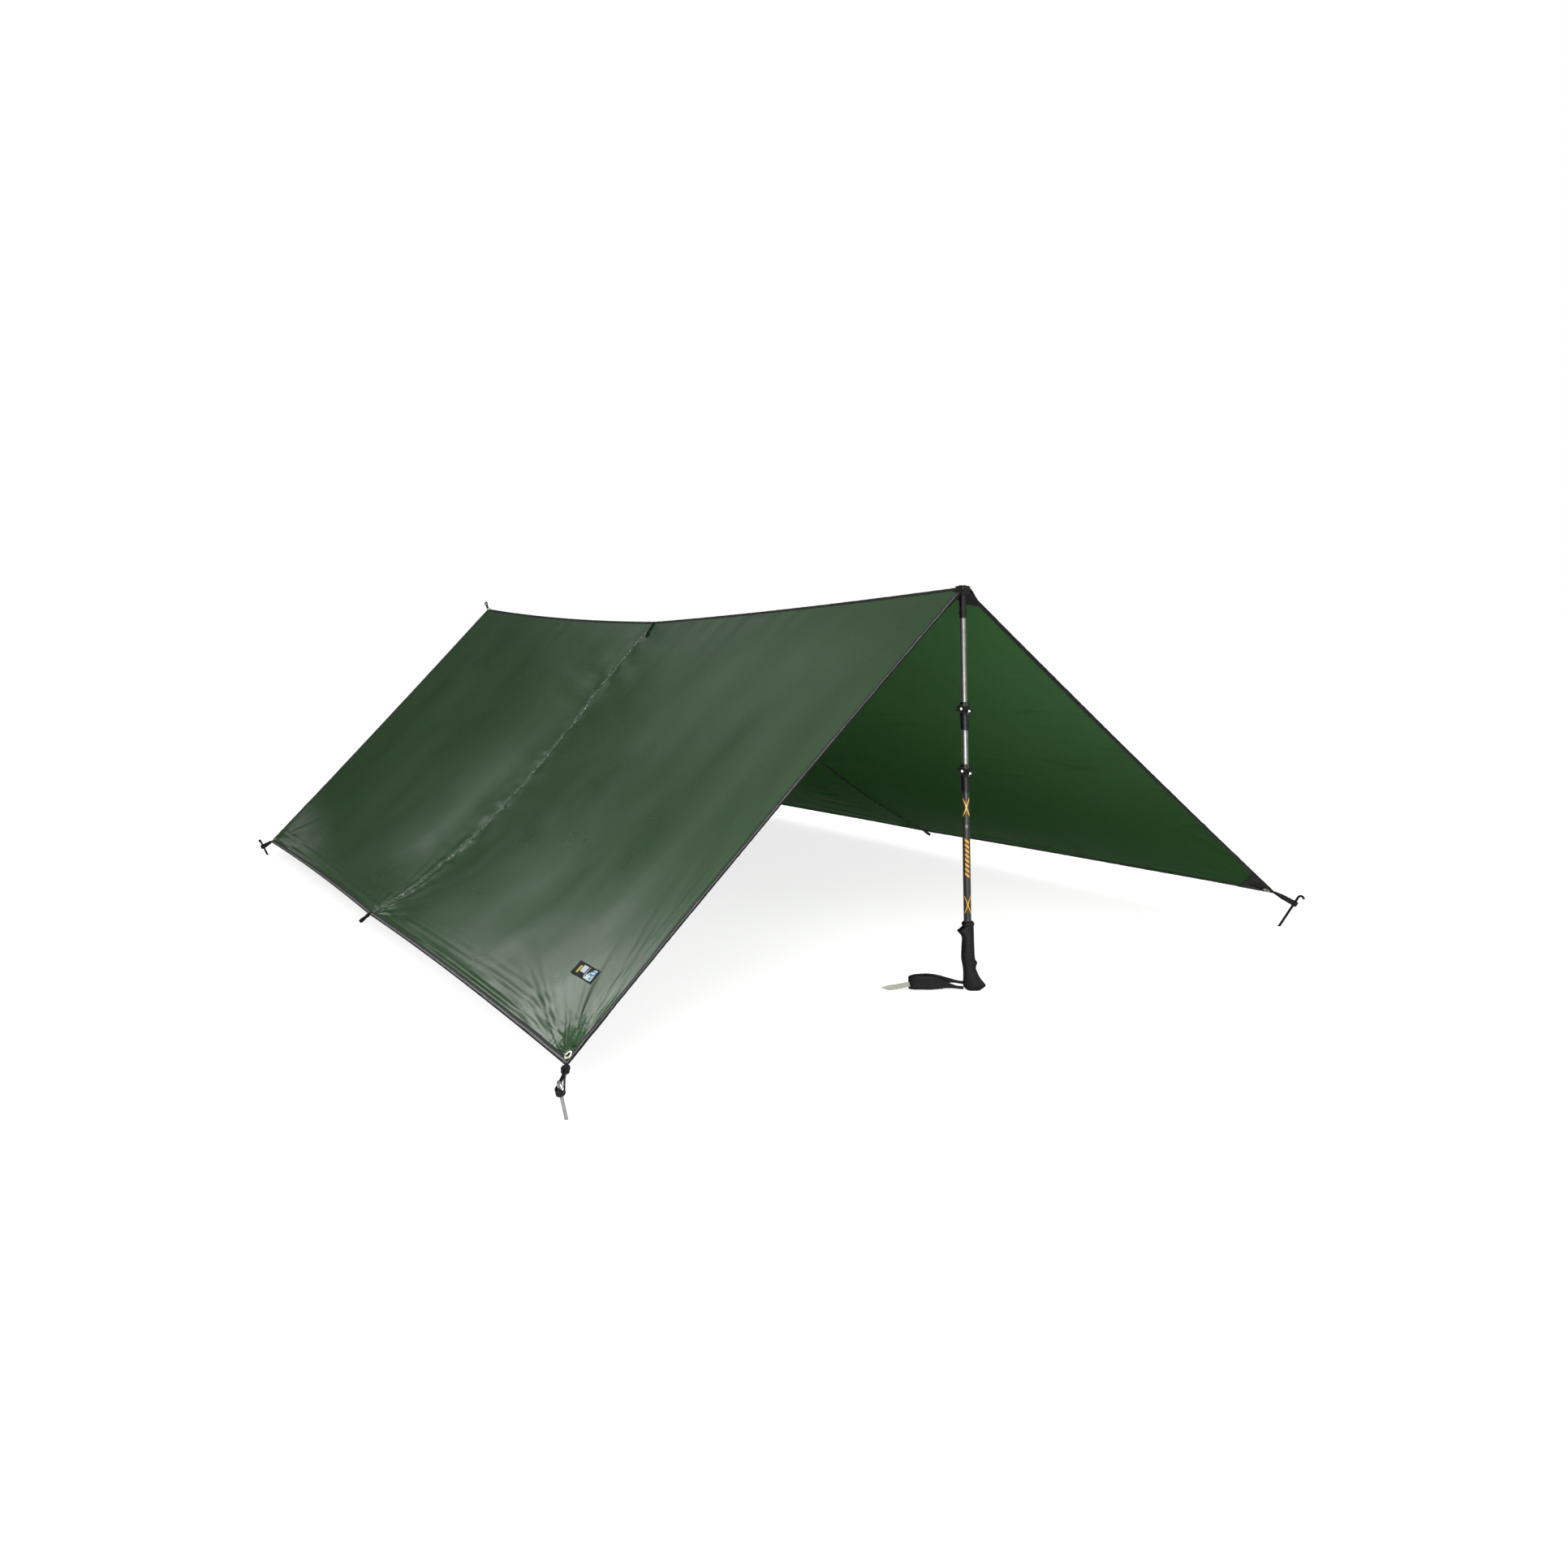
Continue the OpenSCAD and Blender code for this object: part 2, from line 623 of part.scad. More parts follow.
module upper_clamp() {
    clamp_collar(upper_clamp_top, upper_tube_r + fit_gap, middle_tube_r + tube_gap);
}
module lower_clamp() {
    clamp_collar(lower_clamp_top, middle_tube_r + fit_gap, lower_tube_r + tube_gap);
}

// Hand grip, lofted from rounded sections [height, low x, high x, half depth].
// The heights are for a grip 166 high and are scaled to grip_top.
grip_rows = [
    [0, -4, 29, 10], [5, -9.5, 36.5, 13], [10, -12.4, 41, 14.2], [17, -13, 36.5, 14.6],
    [27, -12.6, 28.8, 14.8], [40, -12.2, 22.4, 14.6], [52, -12.8, 18.2, 14.2],
    [60, -14, 19.6, 14.2], [66, -15, 21.4, 14.4], [73, -16, 17.4, 14.6],
    [82, -16.6, 15.8, 15], [104, -15.6, 15, 15], [124, -14.2, 14.6, 14.6],
    [133, -16.4, 14.6, 14.4], [139, -21, 14.5, 14.2], [144, -25, 14.4, 14],
    [149, -19.5, 14.4, 13.8], [154, -13.4, 14.3, 13.6], [156.5, -12.6, 14.6, 13.4],
    [158, -14, 15.6, 14.4], [162, -14, 15.6, 14.4], [166, -11, 12, 11.6]];
module grip() {
    sides = 20;
    last = len(grip_rows) - 1;
    scale_z = grip_top / grip_rows[last][0];
    below_ground = 3;  // the lowest section is sunk, to be cut off level
    function rounded(value) = sign(value) * pow(abs(value), 0.85);
    points = [for (row = grip_rows, i = [0:sides - 1])
        let (angle = 360 * i / sides,
             centre_x = (row[1] + row[2]) / 2,
             half_x = (row[2] - row[1]) / 2)
        [centre_x + half_x * rounded(cos(angle)), row[3] * rounded(sin(angle)),
         row[0] * scale_z - (row[0] == 0 ? below_ground : 0)]];
    walls = [for (j = [0:last - 1], i = [0:sides - 1])
        let (this = j * sides + i, next = j * sides + (i + 1) % sides)
        each halves(this, this + sides, next + sides, next)];
    cap = [for (i = [1:sides - 2]) [0, i, i + 1]];
    difference() {
        polyhedron(points = points,
                   faces = concat(walls, cap, shifted(flipped(cap), last * sides)),
                   convexity = 6);
        translate([0, 0, 23.5]) cylinder(h = 200, r = upper_tube_r + fit_gap, $fn = 64);
    }
}
// Keeps what is above the ground, so the grip stands on a flat foot
module above_ground(foot) {
    intersection() {
        children();
        translate(foot + [-150, -150, 0]) cube([300, 300, 400]);
    }
}

module tip_sleeve(pole_len) {
    color(black) translate([0, 0, pole_len - 70]) difference() {
        rotate_extrude($fn = 64)
            polygon([[0, 0], [8, 0], [8, 10], [9.6, 11], [9.6, 14], [8, 15],
                     [8, 52], [7.2, 56], [0, 56]]);
        translate([0, 0, -1]) cylinder(h = 5.2, r = lower_tube_r + fit_gap, $fn = 64);
        translate([0, 0, 30]) cylinder(h = 40, r = 3.53, $fn = 40);
    }
}
module tip_spike(pole_len) {
    color(silver) translate([0, 0, pole_len - 39]) rotate_extrude($fn = 40)
        polygon([[0, 0], [3.5, 0], [3.5, 36], [2.8, 41], [0, 42]]);
}

// Wrist loop lying beside the grip, near the ground, with its webbing tail
module wrist_strap() {
    color(black) translate([-21, 0, 6.5]) {
        difference() {
            translate([-124, 0, 0]) linear_extrude(height = 38) difference() {
                union() {
                    translate([13, 0]) circle(r = 13, $fn = 48);
                    translate([13, -13]) square([90, 26]);
                    polygon([[103, -13], [124, -6], [124, 6], [103, 13]]);
                }
                translate([14, 0]) circle(r = 9, $fn = 48);
                translate([14, -9]) square([88, 18]);
                polygon([[102, -9], [120, -3], [120, 3], [102, 9]]);
            }
            // slanted cuts through the top and bottom edges
            translate([-60, -30, 34]) rotate([0, 14, 0]) cube([120, 60, 60]);
            translate([-40, -30, -42]) rotate([0, -12, 0]) cube([120, 60, 40]);
        }
        translate([-190, -5, 2]) cube([62, 3, 12]);
    }
}

module front_grip() { color(black) above_ground(front_foot) at_front() grip(); }
module front_upper_tube() { at_front() upper_tube(); }
module front_upper_clamp() { at_front() upper_clamp(); }
module front_upper_clamp_lever() { at_front() clamp_lever(upper_clamp_top); }
module front_upper_clamp_rivets() { at_front() clamp_rivets(upper_clamp_top); }
module front_middle_tube() { at_front() middle_tube(); }
module front_lower_clamp() { at_front() lower_clamp(); }
module front_lower_clamp_lever() { at_front() clamp_lever(lower_clamp_top); }
module front_lower_clamp_rivets() { at_front() clamp_rivets(lower_clamp_top); }
module front_lower_tube() { at_front() lower_tube(front_len); }
module front_tip_sleeve() { at_front() tip_sleeve(front_len); }
module front_tip_spike() { at_front() tip_spike(front_len); }
module front_wrist_strap() { at_front() wrist_strap(); }

module rear_grip() { color(black) above_ground(rear_foot) at_rear() grip(); }
module rear_upper_tube() { at_rear() upper_tube(); }
module rear_upper_clamp() { at_rear() upper_clamp(); }
module rear_upper_clamp_lever() { at_rear() clamp_lever(upper_clamp_top); }
module rear_upper_clamp_rivets() { at_rear() clamp_rivets(upper_clamp_top); }
module rear_middle_tube() { at_rear() middle_tube(); }
module rear_lower_clamp() { at_rear() lower_clamp(); }
module rear_lower_clamp_lever() { at_rear() clamp_lever(lower_clamp_top); }
module rear_lower_clamp_rivets() { at_rear() clamp_rivets(lower_clamp_top); }
module rear_lower_tube() { at_rear() lower_tube(rear_len); }
module rear_tip_sleeve() { at_rear() tip_sleeve(rear_len); }
module rear_tip_spike() { at_rear() tip_spike(rear_len); }
module rear_wrist_strap() { at_rear() wrist_strap(); }

left_front_panel();
left_rear_panel();
right_front_panel();
right_rear_panel();
left_cross_seam_tape();
right_cross_seam_tape();
ridge_tape();
left_edge_binding();
right_edge_binding();
front_ridge_patch();
rear_ridge_patch();
ridge_eyelets();
front_ridge_loop();
rear_ridge_loop();
mid_ridge_loop();
front_left_corner_patch();
rear_left_corner_patch();
front_right_corner_patch();
rear_right_corner_patch();
front_left_eyelet();
rear_left_eyelet();
front_right_eyelet();
rear_right_eyelet();
front_left_corner_loop();
rear_left_corner_loop();
front_right_corner_loop();
rear_right_corner_loop();
left_mid_hem_loop();
right_mid_hem_loop();
woven_label();
front_left_peg();
rear_left_peg();
front_right_peg();
rear_right_peg();
front_grip();
front_upper_tube();
front_upper_clamp();
front_upper_clamp_lever();
front_upper_clamp_rivets();
front_middle_tube();
front_lower_clamp();
front_lower_clamp_lever();
front_lower_clamp_rivets();
front_lower_tube();
front_tip_sleeve();
front_tip_spike();
front_wrist_strap();
rear_grip();
rear_upper_tube();
rear_upper_clamp();
rear_upper_clamp_lever();
rear_upper_clamp_rivets();
rear_middle_tube();
rear_lower_clamp();
rear_lower_clamp_lever();
rear_lower_clamp_rivets();
rear_lower_tube();
rear_tip_sleeve();
rear_tip_spike();
rear_wrist_strap();
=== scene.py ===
"""A ridge tarp shelter pitched on two trekking poles, dressed round its CAD frame.

Metres, +Z up, floor at z 0. The ridge runs along Y over x 0, with its front end at -Y. The left
wing falls towards -X, the right wing towards +X. A pole stands grip down under each ridge end.
"""
import json
import math

import bpy
import numpy as np
from mathutils import Matrix, Vector


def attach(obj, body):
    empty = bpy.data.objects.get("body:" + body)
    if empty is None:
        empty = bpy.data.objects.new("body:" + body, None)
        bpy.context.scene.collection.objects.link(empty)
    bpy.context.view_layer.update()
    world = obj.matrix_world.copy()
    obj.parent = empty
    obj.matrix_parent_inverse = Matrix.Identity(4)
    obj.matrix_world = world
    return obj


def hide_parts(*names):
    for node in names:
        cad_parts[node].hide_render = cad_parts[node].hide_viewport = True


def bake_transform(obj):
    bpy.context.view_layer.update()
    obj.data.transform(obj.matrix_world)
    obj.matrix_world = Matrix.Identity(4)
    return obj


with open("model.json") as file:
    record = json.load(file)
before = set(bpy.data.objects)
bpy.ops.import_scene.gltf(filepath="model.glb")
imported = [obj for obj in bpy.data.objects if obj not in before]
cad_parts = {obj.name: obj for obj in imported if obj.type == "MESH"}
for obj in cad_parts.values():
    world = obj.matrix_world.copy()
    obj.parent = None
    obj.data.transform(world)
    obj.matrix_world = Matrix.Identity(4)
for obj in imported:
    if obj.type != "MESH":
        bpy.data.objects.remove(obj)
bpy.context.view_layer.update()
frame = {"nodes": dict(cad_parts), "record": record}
COARSE = 1.0  # factor on the cloth's mesh spacing

LEFT, RIGHT = -1, 1
FRONT, REAR = -1, 1
SIDE_NAME = {LEFT: "left", RIGHT: "right"}
END_NAME = {FRONT: "front", REAR: "rear"}

# ---------------------------------------------------------------- dimensions
RIDGE_HALF = 1.466
FRONT_HEIGHT, MID_HEIGHT, REAR_HEIGHT = 0.947, 0.863, 0.914
WING_WIDTH = 1.380  # ridge to hem, along the cloth
HEM_REACH, HEM_HEIGHT = 1.028, 0.073  # middle of each hem
RIDGE_MID = np.array([0.0, 0.0, MID_HEIGHT])
RIDGE_FRONT = np.array([0.0, -RIDGE_HALF, FRONT_HEIGHT])
RIDGE_REAR = np.array([0.0, RIDGE_HALF, REAR_HEIGHT])
EYELET_INSET = 0.016  # from both edges at a corner
CLOTH_THICK = 0.0006

PEAK_Y = 1.4585
FRONT_TIP = np.array([0, -PEAK_Y, FRONT_HEIGHT])
REAR_TIP = np.array([0, PEAK_Y, REAR_HEIGHT])
POLE_SPAN = np.array([0.006, 0.0435, FRONT_HEIGHT])  # foot to tip of the front pole
TUBE_RADIUS = 0.009


# ---------------------------------------------------------------- small maths
def unit(vector):
    vector = np.asarray(vector, float)
    return vector / np.linalg.norm(vector, axis=-1, keepdims=True)


def mix(a, b, share):
    return a * (1 - share) + b * share


def arch(share):
    return 4 * share * (1 - share)


def low_arch(share):
    """Arch of height 1 whose top lies past the middle."""
    share = np.clip(share, 0, 1)
    return share ** 1.8 * (1 - share) / (0.643 ** 1.8 * 0.357)


def smooth(x, start, end):
    share = np.clip((x - start) / (end - start), 0, 1)
    return share * share * (3 - 2 * share)


def decay(distance, reach):
    return np.exp(-distance / reach)


def bell(distance, reach):
    return np.exp(-((distance / reach) ** 2))


def rotation(axis, degrees):
    return np.array(Matrix.Rotation(math.radians(degrees), 3, axis))


def placed(origin, turn, points_mm):
    """Points given in millimetres in a turned frame, as places in metres."""
    return origin + (np.asarray(points_mm, float) / 1000) @ turn.T


def run_length(points):
    """Distance travelled at each point of a polyline."""
    steps = np.linalg.norm(np.diff(points, axis=0), axis=1)
    return np.concatenate([[0], np.cumsum(steps)])


noise_tables = {}


def noise(x, y, seed):
    """Smooth value noise in -1..1."""
    if seed not in noise_tables:
        noise_tables[seed] = np.random.RandomState(seed).uniform(-1, 1, (128, 128))
    table = noise_tables[seed]
    x, y = np.broadcast_arrays(np.asarray(x, float), np.asarray(y, float))
    col, row = np.floor(x).astype(int), np.floor(y).astype(int)
    x, y = x - col, y - row
    x = x * x * x * (x * (x * 6 - 15) + 10)
    y = y * y * y * (y * (y * 6 - 15) + 10)

    def value(right, up):
        return table[(col + right) % 128, (row + up) % 128]

    return mix(mix(value(0, 0), value(1, 0), x), mix(value(0, 1), value(1, 1), x), y)


# ---------------------------------------------------------------- shape of the pitched cloth
# A place on a wing is (along, down): along is -1 at the front edge, 0 at the cross seam and
# 1 at the rear edge; down is 0 at the ridge and 1 at the hem.
def hem_mid(side):
    return np.array([side * HEM_REACH, -0.184, HEM_HEIGHT])


def corner(side, end):
    if end == FRONT:
        return np.array([side * 1.087, -1.598, 0.095])
    return np.array([side * 0.980, 1.252, 0.050])


def sheet(side, along, down):
    """Smooth middle surface of a wing: a patch spanned between its four curved borders."""
    along, down = np.broadcast_arrays(np.asarray(along, float), np.asarray(down, float))
    front = (along < 0)[..., None]
    out = np.abs(along)[..., None]
    down = down[..., None]
    ridge_end = np.where(front, RIDGE_FRONT, RIDGE_REAR)
    hem_end = np.where(front, corner(side, FRONT), corner(side, REAR))
    middle = hem_mid(side)
    outward = unit([side * (MID_HEIGHT - HEM_HEIGHT), 0, HEM_REACH])
    ridge_sag = np.where(front, 0.006, 0.013)
    seam_sag = 0.065 if side == LEFT else 0.034
    edge_bow = np.where(front, 0.009, -0.012)
    hem_lift = 0.007
    y_axis, z_axis = np.array([0.0, 1, 0]), np.array([0.0, 0, 1])
    on_ridge = mix(RIDGE_MID, ridge_end, out) - z_axis * ridge_sag * arch(out)
    on_seam = mix(RIDGE_MID, middle, down) - outward * seam_sag * low_arch(down)
    on_edge = mix(ridge_end, hem_end, down) + y_axis * edge_bow * arch(down)
    on_hem = mix(middle, hem_end, out) + unit(RIDGE_MID - middle) * hem_lift * arch(out)
    return (on_ridge * (1 - down) + on_hem * down + on_seam * (1 - out) + on_edge * out
            - (RIDGE_MID * (1 - out) * (1 - down) + ridge_end * out * (1 - down)
               + middle * (1 - out) * down + hem_end * out * down))


def normal(side, along, down, step=0.004):
    """Upward normal of the smooth surface."""
    across = np.cross(sheet(side, along + step, down) - sheet(side, along - step, down),
                      sheet(side, along, down + step) - sheet(side, along, down - step))
    across = unit(across)
    return np.where(across[..., 2:3] < 0, -across, across)


# Wrinkles: run is the signed distance from the cross seam along the ridge, drop the distance
# down from the ridge. Each term is a height times a fade with distance times a noise whose
# divisors are the lengths of its folds, all in metres or radians.
def billow(run, drop, seed):
    """Soft waves of the open cloth, still near every border."""
    to_seam, to_hem = np.abs(run), WING_WIDTH - drop
    field = (smooth(to_seam, 0, 0.25) * smooth(RIDGE_HALF - to_seam, 0, 0.3)
             * smooth(drop, 0, 0.3) * smooth(to_hem, 0, 0.3))
    return field * (0.006 * noise(run / 0.42 + 3, drop / 0.5, seed)
                    + 0.0022 * noise(run / 0.16, drop / 0.26, seed + 1))


def seam_gathers(run, drop, seed):
    """Gathers where the two widths are sewn together, in three sizes."""
    to_seam = np.abs(run)
    fade = smooth(drop, 0.0, 0.05) * smooth(WING_WIDTH - drop, 0.0, 0.02)
    small = 0.0026 * decay(to_seam, 0.020) * noise(drop / 0.0105, run / 0.04, seed + 2)
    medium = (0.0034 * decay(to_seam, 0.05) * smooth(to_seam, 0, 0.01)
              * noise(drop / 0.021 + run * 2.0, run / 0.10, seed + 3))
    large = (0.0042 * decay(to_seam, 0.2) * smooth(to_seam, 0, 0.06)
             * noise(drop / 0.062 + run * 4.0, run / 0.35, seed + 4))
    return fade * np.where(run < 0, 1.0, 0.62) * (small + medium + large)


# strength of the folds at each corner
FOLD_STRENGTH = {(LEFT, FRONT): 1.0, (LEFT, REAR): 0.8, (RIGHT, FRONT): 0.55, (RIGHT, REAR): 0.6}


def corner_folds(side, end, run, drop, seed):
    """Pleats round the eyelet, fans from the corner, streaks along hem and edge."""
    to_edge, to_hem = RIDGE_HALF - np.abs(run), WING_WIDTH - drop
    radius = np.hypot(to_edge, to_hem) + 1e-6
    angle = np.arctan2(to_hem, to_edge)
    eye_radius = np.hypot(to_edge - EYELET_INSET, to_hem - EYELET_INSET) + 1e-6
    eye_angle = np.arctan2(to_hem - EYELET_INSET, to_edge - EYELET_INSET)
    power = FOLD_STRENGTH[side, end]
    seed = seed + 5 + end + 7 * (side == RIGHT)

    pleat = np.sin(eye_angle * 20 + 2.4 * noise(eye_angle * 2.6, eye_radius / 0.04, seed + 20))
    pleat = np.sign(pleat) * np.abs(pleat) ** 0.8
    pleat = (0.0040 * smooth(eye_radius, 0.010, 0.020) * bell(eye_radius, 0.062) * pleat
             * (0.6 + 0.4 * noise(eye_angle * 3, eye_radius / 0.02, seed + 30)))
    rings = (0.0016 * smooth(eye_radius, 0.012, 0.024) * bell(eye_radius, 0.075)
             * noise(eye_radius / 0.0075, eye_angle * 3.5, seed + 40))
    bend = 2.0 * noise(radius / 0.4, angle * 2, seed)
    wide_fan = (0.0021 * smooth(radius, 0.03, 0.2) * decay(radius, 0.42)
                * noise(angle * 9.0 + bend, radius / 0.5 + angle, seed + 6))
    fine_fan = (0.0012 * smooth(radius, 0.02, 0.09) * decay(radius, 0.22)
                * noise(angle * 21.0, radius / 0.35, seed + 8))
    hem_streak = (0.0036 * bell(to_hem, 0.06) * decay(to_edge, 0.6)
                  * noise(to_edge / 0.45 + 5, to_hem / 0.011, seed + 9))
    edge_streak = (0.0014 * bell(to_edge, 0.05) * decay(to_hem, 0.5)
                   * noise(to_hem / 0.40 + 5, to_edge / 0.012, seed + 11))
    return (run * end > 0) * (power * (pleat + rings + wide_fan + fine_fan + edge_streak)
                              + (0.4 + 0.6 * power) * hem_streak)


def hem_lines(run, drop, seed):
    """Long lines close to the hem, and a fan from the hem's middle."""
    to_seam, to_hem = np.abs(run), WING_WIDTH - drop
    radius = np.hypot(to_seam, to_hem) + 1e-6
    angle = np.arctan2(to_hem, run)
    lines = 0.0018 * bell(to_hem, 0.05) * noise(run / 0.33, to_hem / 0.012, seed + 12)
    fan = (0.0035 * smooth(radius, 0.01, 0.07) * decay(radius, 0.16)
           * noise(angle * 8, radius / 0.3, seed + 13) * smooth(to_seam, 0, 0.015))
    return lines + fan


def creases(run, drop, seed):
    """Thin sharp creases on the lower part of the right wing."""
    line = 1 - np.abs(noise(run / 0.55 + 9, drop / 0.085 + run * 0.35, seed + 14))
    keep = (smooth(noise(run / 0.3, drop / 0.2, seed + 15), 0.0, 0.6)
            * smooth(np.abs(run), 0.02, 0.12) * smooth(WING_WIDTH - drop, 0.02, 0.08)
            * smooth(drop, 0.25, 0.5))
    return 0.0042 * keep * line ** 9


def wrinkle(side, along, down):
    """How far the cloth stands off its smooth surface."""
    run, drop = along * RIDGE_HALF, down * WING_WIDTH
    seed = 10 if side == LEFT else 60
    total = billow(run, drop, seed) + seam_gathers(run, drop, seed)
    for end in (FRONT, REAR):
        total += corner_folds(side, end, run, drop, seed)
    total += hem_lines(run, drop, seed)
    if side == RIGHT:
        total += creases(run, drop, seed)
    # tension lines that hang from the ridge
    total += (0.0010 * decay(drop, 0.12) * smooth(drop, 0, 0.03)
              * noise(run / 0.05, drop / 0.3, seed + 16))
    # the sewn borders lie flatter
    total *= smooth(drop, 0.0, 0.012)
    to_border = np.minimum(RIDGE_HALF - np.abs(run), WING_WIDTH - drop)
    return total * (0.25 + 0.75 * smooth(to_border, 0.002, 0.024))


def surf(side, along, down, height=0.0):
    """Point on the wrinkled cloth, height above its middle."""
    along, down, height = np.broadcast_arrays(
        np.asarray(along, float), np.asarray(down, float), np.asarray(height, float))
    offset = wrinkle(side, along, down) + height
    return sheet(side, along, down) + normal(side, along, down) * offset[..., None]


# ---------------------------------------------------------------- mesh spacing of the cloth
def spaced(length, step):
    """Positions 0..1 along a length, with a local step given by a function."""
    x = np.linspace(0, length, 6001)
    density = 1 / (step(x) * COARSE)
    areas = (density[1:] + density[:-1]) / 2 * np.diff(x)
    count = np.concatenate([[0], np.cumsum(areas)])
    steps = max(4, int(round(count[-1])))
    return np.interp(np.linspace(0, count[-1], steps + 1), count, x) / length


def down_step(drop):
    """Finer near the hem."""
    return 0.0021 + 0.0052 * smooth(WING_WIDTH - drop, 0.05, 0.20)


def along_step(run):
    """Finer near the cross seam and the outer edge."""
    return 0.0021 + 0.0060 * smooth(run, 0.012, 0.10) * smooth(RIDGE_HALF - run, 0.05, 0.22)


DOWN = spaced(WING_WIDTH, down_step)
HALF_ALONG = spaced(RIDGE_HALF, along_step)
ALONG = np.concatenate([-HALF_ALONG[::-1], HALF_ALONG[1:]])


def finer(stations, parts):
    """Each gap between stations cut into equal parts."""
    last = len(stations) - 1
    return np.interp(np.linspace(0, last, last * parts + 1), np.arange(last + 1), stations)


# ---------------------------------------------------------------- skins: (vertices, faces, UVs)
def volume(vertices, faces):
    total = 0.0
    by_size = {}
    for face in faces:
        by_size.setdefault(len(face), []).append(face)
    for size, group in by_size.items():
        group = np.array(group)
        for i in range(1, size - 1):
            fan = np.cross(vertices[group[:, i]], vertices[group[:, i + 1]])
            total += np.einsum("ij,ij->i", vertices[group[:, 0]], fan).sum()
    return total / 6


def facing_out(vertices, faces, uvs):
    if volume(vertices, faces) < 0:
        faces = [face[::-1] for face in faces]
        uvs = [face[::-1] for face in uvs]
    return vertices, faces, uvs


def tube(rings):
    """Closed, capped skin over rings (rows, points, 3), with UVs in metres."""
    rings = np.asarray(rings, float)
    rows, count, _ = rings.shape
    along = run_length(rings.mean(1))
    middle = rings[rows // 2]
    around = run_length(np.vstack([middle, middle[:1]]))
    i, j = np.meshgrid(np.arange(rows - 1), np.arange(count), indexing="ij")
    i, j = i.ravel(), j.ravel()
    corners = ((i, j), (i, j + 1), (i + 1, j + 1), (i + 1, j))
    faces = np.stack([row * count + col % count for row, col in corners], -1).tolist()
    uvs = np.stack([np.stack([along[row], around[col]], -1) for row, col in corners], 1).tolist()
    first, last = list(range(count))[::-1], list(range(count))
    faces += [first, [(rows - 1) * count + x for x in last]]
    uvs += [[[0, around[x]] for x in first], [[along[-1], around[x]] for x in last]]
    return facing_out(rings.reshape(-1, 3), faces, uvs)


def between(top, bottom):
    """Closed skin between two grids of points."""
    return tube(np.concatenate([top, bottom[:, ::-1]], 1))


def join(parts):
    vertices, faces, uvs, base = [], [], [], 0
    for part_vertices, part_faces, part_uvs in parts:
        vertices.append(part_vertices)
        faces += [[x + base for x in face] for face in part_faces]
        uvs += part_uvs
        base += len(part_vertices)
    return np.concatenate(vertices), faces, uvs


def smooth_path(points, count):
    """Catmull-Rom curve through points, sampled evenly."""
    points = np.asarray(points, float)
    points = np.vstack([2 * points[0] - points[1], points, 2 * points[-1] - points[-2]])
    share = np.linspace(0, 1, 24, endpoint=False)[:, None]
    pieces = []
    for i in range(1, len(points) - 2):
        a, b, c, d = points[i - 1:i + 3]
        pieces.append(0.5 * (2 * b + (c - a) * share + (2 * a - 5 * b + 4 * c - d) * share ** 2
                             + (3 * b - a - 3 * c + d) * share ** 3))
    curve = np.vstack(pieces + [points[-2][None]])
    travel = run_length(curve)
    x = np.linspace(0, travel[-1], count)
    return np.stack([np.interp(x, travel, column) for column in curve.T], -1)


def webbing_section(width, thick, flats):
    """Rounded cross-section as (across, through) pairs, with extra points on its flats."""
    radius = thick / 2 * 0.95
    rounds = []
    for x, y, start in ((1, 1, 0), (-1, 1, 90), (-1, -1, 180), (1, -1, 270)):
        for i in range(4):
            angle = math.radians(start + 90 * i / 3)
            rounds.append((x * (width / 2 - radius) + radius * math.cos(angle),
                           y * (thick / 2 - radius) + radius * math.sin(angle)))
    reach = width / 2 - thick / 2
    top = [(x * reach, thick / 2) for x in np.linspace(0.8, -0.8, flats)]
    bottom = [(x * reach, -thick / 2) for x in np.linspace(-0.8, 0.8, flats)]
    return np.array(rounds[:4] + top + rounds[4:12] + bottom + rounds[12:])


def band(path, across, width, thick, ripple, seed, flats=3):
    """Webbing along a path. across: direction of its width; ripple: height of its waves."""
    count = len(path)
    tangent = unit(np.gradient(path, axis=0))
    through = unit(np.cross(tangent, np.broadcast_to(np.asarray(across, float), (count, 3))))
    across = unit(np.cross(through, tangent))
    width = np.broadcast_to(np.asarray(width, float), (count,))
    thick = np.broadcast_to(np.asarray(thick, float), (count,))
    phase = np.random.RandomState(seed).uniform(0, 6.28, 4)
    travel = run_length(path)
    rings = []
    for i in range(count):
        section = webbing_section(width[i], thick[i], flats)
        wave = (math.sin(travel[i] / 0.006 + phase[0])
                + 0.6 * math.sin(travel[i] / 0.0037 + phase[1]))
        wave = ripple * wave * (section[:, 0] / width[i])
        rings.append(path[i] + across[i] * section[:, :1]
                     + through[i] * (section[:, 1:] + wave[:, None]))
    return tube(rings)


def cord(path, radius, count=12):
    """Round cord along a path."""
    tangent = unit(np.gradient(path, axis=0))
    steep = abs(tangent[0][2]) >= 0.9
    up = unit(np.cross(tangent[0], np.array([1.0, 0, 0] if steep else [0.0, 0, 1])))
    radius = np.broadcast_to(np.asarray(radius, float), (len(path),))
    angle = np.linspace(0, 2 * np.pi, count, endpoint=False)[:, None]
    rings = []
    for i in range(len(path)):
        up = unit(up - tangent[i] * np.dot(up, tangent[i]))
        aside = np.cross(tangent[i], up)
        rings.append(path[i] + radius[i] * (np.cos(angle) * up + np.sin(angle) * aside))
    return tube(rings)


